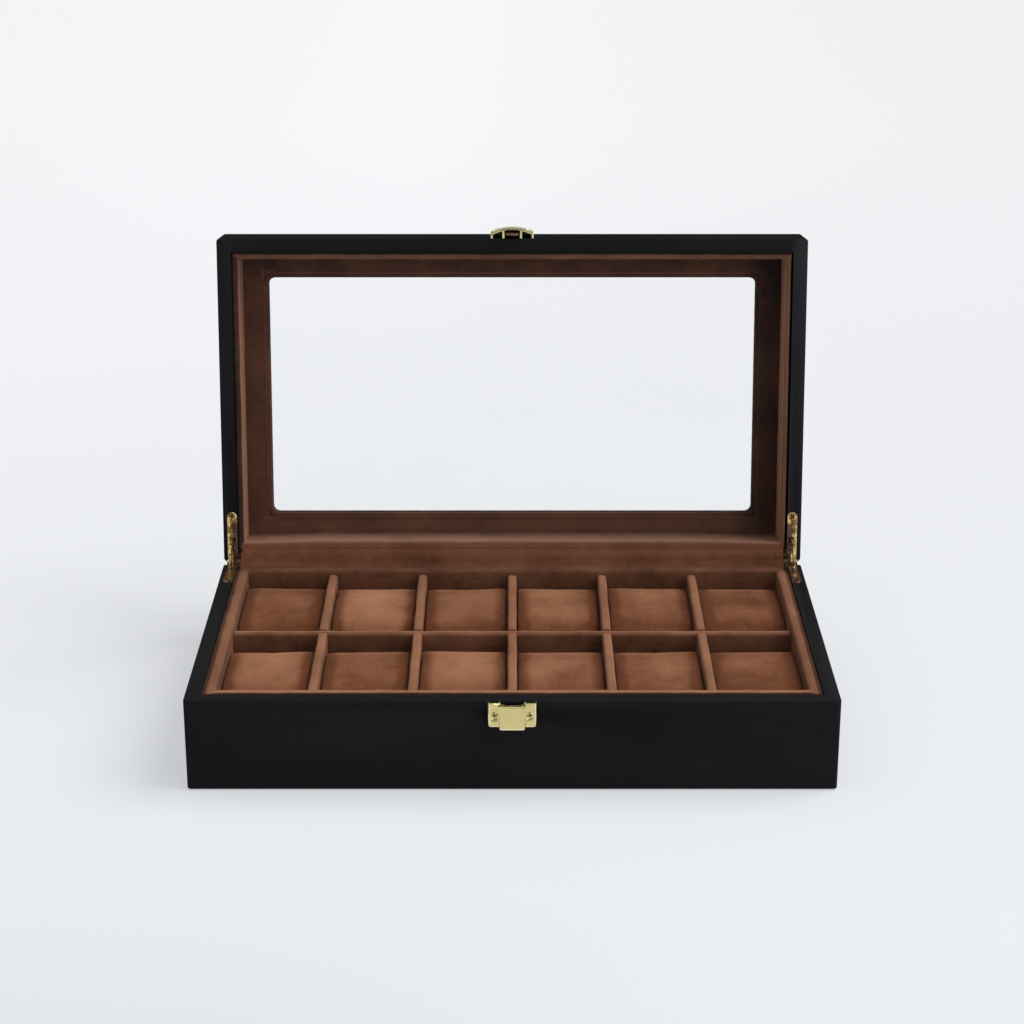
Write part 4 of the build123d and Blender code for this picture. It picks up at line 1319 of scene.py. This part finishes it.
# %% Floor lining and underside felt
for name, node, material, slot, radius, amount in (
    ("floor_suede", "floor_lining", lining_suede, "brown_suede", 0.5 * MM, 0.08 * MM),
    ("underside_felt_sheet", "underside_felt", felt, "underside_felt", 3.0 * MM, 0.03 * MM),
):
    low, high = box_of(node)
    half = (high - low) / 2
    closing = half[1] * 0.999
    insets = [closing, half[1] * 0.7, half[1] * 0.4, 2 * MM, 0.2 * MM, 0, 0, 0.2 * MM, closing]
    heights = [high[2]] * 5 + [high[2] - 0.2 * MM, low[2] + 0.1 * MM, low[2], low[2]]
    points = np.stack([
        level_loop(half[0] - inset, half[1] - inset, max(radius - inset, 0.05 * MM), height, side_steps=40)
        for inset, height in zip(insets, heights)
    ])
    points[..., 1] += (low[1] + high[1]) / 2
    on_top = points[..., 2] > low[2] + 0.15 * MM
    bumpy = uneven(points, amount, 7.0)[..., 2] - amount
    points[..., 2] = np.where(on_top, bumpy, points[..., 2])
    piece = new_piece(name, *joined([points]), material, "base", slot)
    paint_nap_and_light(piece, lambda points: 0.48)
    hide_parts(node)
print("floor lining and felt made")

# %% [markdown]
# ## The pillows
#
# Each place holds a pillow that a watch is closed round: foam in a suede cover. Its top is
# arched from front to back, its long edges are soft and its two sides are nearly square, as
# the cover is pulled tight there. A block of that form is the start. It is a little smaller
# than the finished pillow from front to back and in height, and a little longer from side to
# side, because its ends are pressed flat in the end.

# %% Pillow blocks
SIDE_ROUND = (1.3 * MM, 2.2 * MM)
SIDE_FALL = 0.5 * MM
PRESS = 1.8 * MM
SHRINK = 0.6 * MM


def round_off(x, half, radius):
    """How far a quarter circle has dropped near both ends of a run, from 0 to 1: nothing until
    one radius from the end, then one minus the circle's height."""
    t = np.clip((np.abs(x) - (half - radius)) / radius, 0, 1)
    return 1 - np.sqrt(np.clip(1 - t ** 2, 0, 1))


def pillow_block(half_x, half_y, low, high, lean, crown):
    """A closed block. Its section, front to back, is a rounded outline with an arched top. The
    section shrinks along a quarter circle towards both ends, which rounds the sides, and its
    top leans to one side and falls with the seventh power of the distance from the middle."""
    corners = [(-half_y, low), (half_y, low), (half_y, high - crown), (-half_y, high - crown)]
    section = divided(rounded(corners, [4 * MM, 4 * MM, 10 * MM, 13 * MM], 6), 5 * MM, 10)
    middle = (low + high) / 2
    upper = np.clip((section[:, 1] - middle) / (high - crown - middle), 0, 1)
    section[:, 1] += crown * np.clip(1 - (section[:, 0] / half_y) ** 2, 0, 1) * upper
    x = half_x * np.sin(np.linspace(-1, 1, 41) * math.pi / 2)
    half_z = (high - low) / 2
    inset_y, inset_z = (radius * round_off(x, half_x, radius) for radius in SIDE_ROUND)
    y = section[:, 0] * ((half_y - inset_y) / half_y)[:, None]
    z = middle + (section[:, 1] - middle) * ((half_z - inset_z) / half_z)[:, None] + lean * x[:, None]
    z -= (SIDE_FALL * np.abs(x / half_x) ** 7)[:, None] * upper
    return np.stack([np.broadcast_to(x[:, None], y.shape), y, z], -1)


low, high = box_of("pillow_back_1")
HALF = (high - low) / 2
TALL = high[2] - low[2]
print("pillow in mm:", np.round((high - low) / MM, 1))

# %% [markdown]
# A cover doesn't lie on its foam like paint: the stuffing pushes it out, so its corners are
# drawn in and its faces are crowned. That is simulated, as cloth with air pressure inside. The
# cloth needs even faces, which a voxel remesh gives.

# %% Blow a block up
def baked(piece):
    """Replace a piece's mesh by what its modifiers make of it."""
    graph = bpy.context.evaluated_depsgraph_get()
    graph.update()
    mesh = bpy.data.meshes.new_from_object(piece.evaluated_get(graph), depsgraph=graph)
    piece.modifiers.clear()
    piece.data = mesh


def even_block(points, faces, voxel):
    """A block remeshed to even faces. Its normals point outwards first, as the remesh needs."""
    mesh = bpy.data.meshes.new("block")
    mesh.from_pydata(points.tolist(), [], faces)
    build = bmesh.new()
    build.from_mesh(mesh)
    bmesh.ops.recalc_face_normals(build, faces=build.faces)
    build.to_mesh(mesh)
    build.free()
    block = bpy.data.objects.new("block", mesh)
    bpy.context.collection.objects.link(block)
    remesh = block.modifiers.new("even", "REMESH")
    remesh.mode = "VOXEL"
    remesh.voxel_size = voxel
    baked(block)
    return block


def puffed(block, pressure, frames, cap):
    """Blow a block up as cloth. No point moves further than the cap. The result is the points,
    the faces and the greatest distance that the cloth wanted to move."""
    start = points_of(block.data)
    corners = np.empty(len(block.data.loops), int)
    block.data.loops.foreach_get("vertex_index", corners)
    move = np.zeros_like(start)
    cloth = block.modifiers.new("cover", "CLOTH")
    cloth.settings.use_pressure = True
    cloth.settings.uniform_pressure_force = pressure
    cloth.settings.effector_weights.gravity = 0
    for step in range(1, frames + 1):
        bpy.context.scene.frame_set(step)
    baked(block)
    move = points_of(block.data) - start
    bpy.context.scene.frame_set(1)
    bpy.data.objects.remove(block)
    far = np.linalg.norm(move, axis=1)
    move *= (np.minimum(far, cap) / np.maximum(far, 1e-9))[:, None]
    return start + move, corners.reshape(-1, 4), far.max()


print("cloth helpers ready; quick run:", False)

# %% [markdown]
# Twelve pillows come from four simulations, because cloth is slow and pillows from one bench
# look alike. The four differ in how far they lean and how high they are arched.

# %% Pillow simulations
forms = []
for lean, crown in ((0.012, 2.2), (-0.010, 1.6), (0.004, 2.6), (-0.018, 2.0)):
    grid = pillow_block(HALF[0] + PRESS, HALF[1] - SHRINK, SHRINK, TALL - SHRINK, lean, crown * MM)
    block = even_block(*joined([grid]), voxel=1.7 * MM)
    points, faces, far = puffed(block, pressure=5.0, frames=14, cap=0.6 * MM)
    forms.append((points, faces))
    print("pillow form:", len(points), "points, largest move", round(far / MM, 2), "mm")

# %% [markdown]
# Now each form goes into its places. It is stretched a little past its CAD block and then
# pressed flat where it would stick out: at both sides, and where it stands on the floor. A
# seam runs across it near the front, as a shallow groove. Every pillow was brushed in its own
# way, so each has a tone, listed where it stands out from the others. Painted light and shade
# go on it too: a painted highlight on its arched top and its far edge, and painted shade at
# the sides and down the front.

# %% Pillows in their places
TONE = {
    "back_1": 0.14, "back_2": 0.56, "back_4": 0.31, "back_6": 0.11,
    "front_1": 0.39, "front_2": 0.14, "front_3": 0.39, "front_6": 0.14,
}
USUAL_TONE = 0.25
SEAM_FROM_FRONT = 9.5 * MM


def pillow_nap_and_light(points, centre, half, tone, phase):
    """How a pillow is painted: its own tone, a painted highlight on its arched top, a bell curve
    both ways, and a painted sheen along the far edge, painted shade at both sides and down the
    front, with soft strokes of nap of three sines."""
    x, y, _ = ((points - centre) / half).T
    edge = 0.55 * ease(np.abs(x), 0.62, 0.90) + 0.26 * ease(-y, 0.30, 0.85)
    crest_highlight = np.exp(-((x - 0.25 * math.sin(1.7 * phase)) / 0.55) ** 2 - ((y - 0.35) / 0.45) ** 2)
    strokes = np.sin(5.1 * x + 1.3 * y + phase) + np.sin(2.3 * x - 4.4 * y + 2 * phase)
    strokes = strokes + np.sin(7.7 * y + 3 * phase)
    light = (0.08 + 0.50 * tone) * crest_highlight + 0.16 * ease(y, 0.55, 0.75)
    return tone + light - edge * (0.40 + tone) + 0.028 * strokes


def pillow_points(form, low, high, flip, number):
    """A form stretched over its place, mirrored if asked, made uneven, grooved along its seam
    and pressed into its place."""
    points = form * [flip, 1, 1]
    first, last = points.min(0), points.max(0)
    past = np.array([PRESS, 0.3 * MM, 0])
    points = low - past + (points - first) / (last - first) * (high - low + 2 * past)
    points = uneven(points, 0.05 * MM, number * 1.7)
    on_top = ease(points[:, 2], high[2] - 14 * MM, high[2] - 5 * MM)
    seam = low[1] + SEAM_FROM_FRONT + 0.4 * MM * np.sin(points[:, 0] * 130 + number)
    points[:, 2] -= 0.35 * MM * on_top * np.exp(-((points[:, 1] - seam) / (0.9 * MM)) ** 2)
    return np.clip(points, low, high)


chance = np.random.default_rng(7)
for number in range(12):
    row, column = ("back", "front")[number // 6], number % 6 + 1
    node = f"pillow_{row}_{column}"
    low, high = box_of(node)
    form, faces = forms[(column + (2 if row == "front" else 0)) % 4]
    flip = -1 if chance.random() < 0.5 else 1
    points = pillow_points(form, low, high, flip, number)
    pillow = new_piece(node + "_cushion", points, faces.tolist(), pillow_suede, node, sharp=180)
    tone = TONE.get(f"{row}_{column}", USUAL_TONE) + chance.uniform(-0.03, 0.03)
    paint_nap_and_light(pillow, lambda points: pillow_nap_and_light(points, (low + high) / 2, (high - low) / 2, tone, number * 1.9))
    smooth = pillow.modifiers.new("smooth", "SUBSURF")
    smooth.levels = smooth.render_levels = 1
    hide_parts(node)
print("pillows:", number + 1)
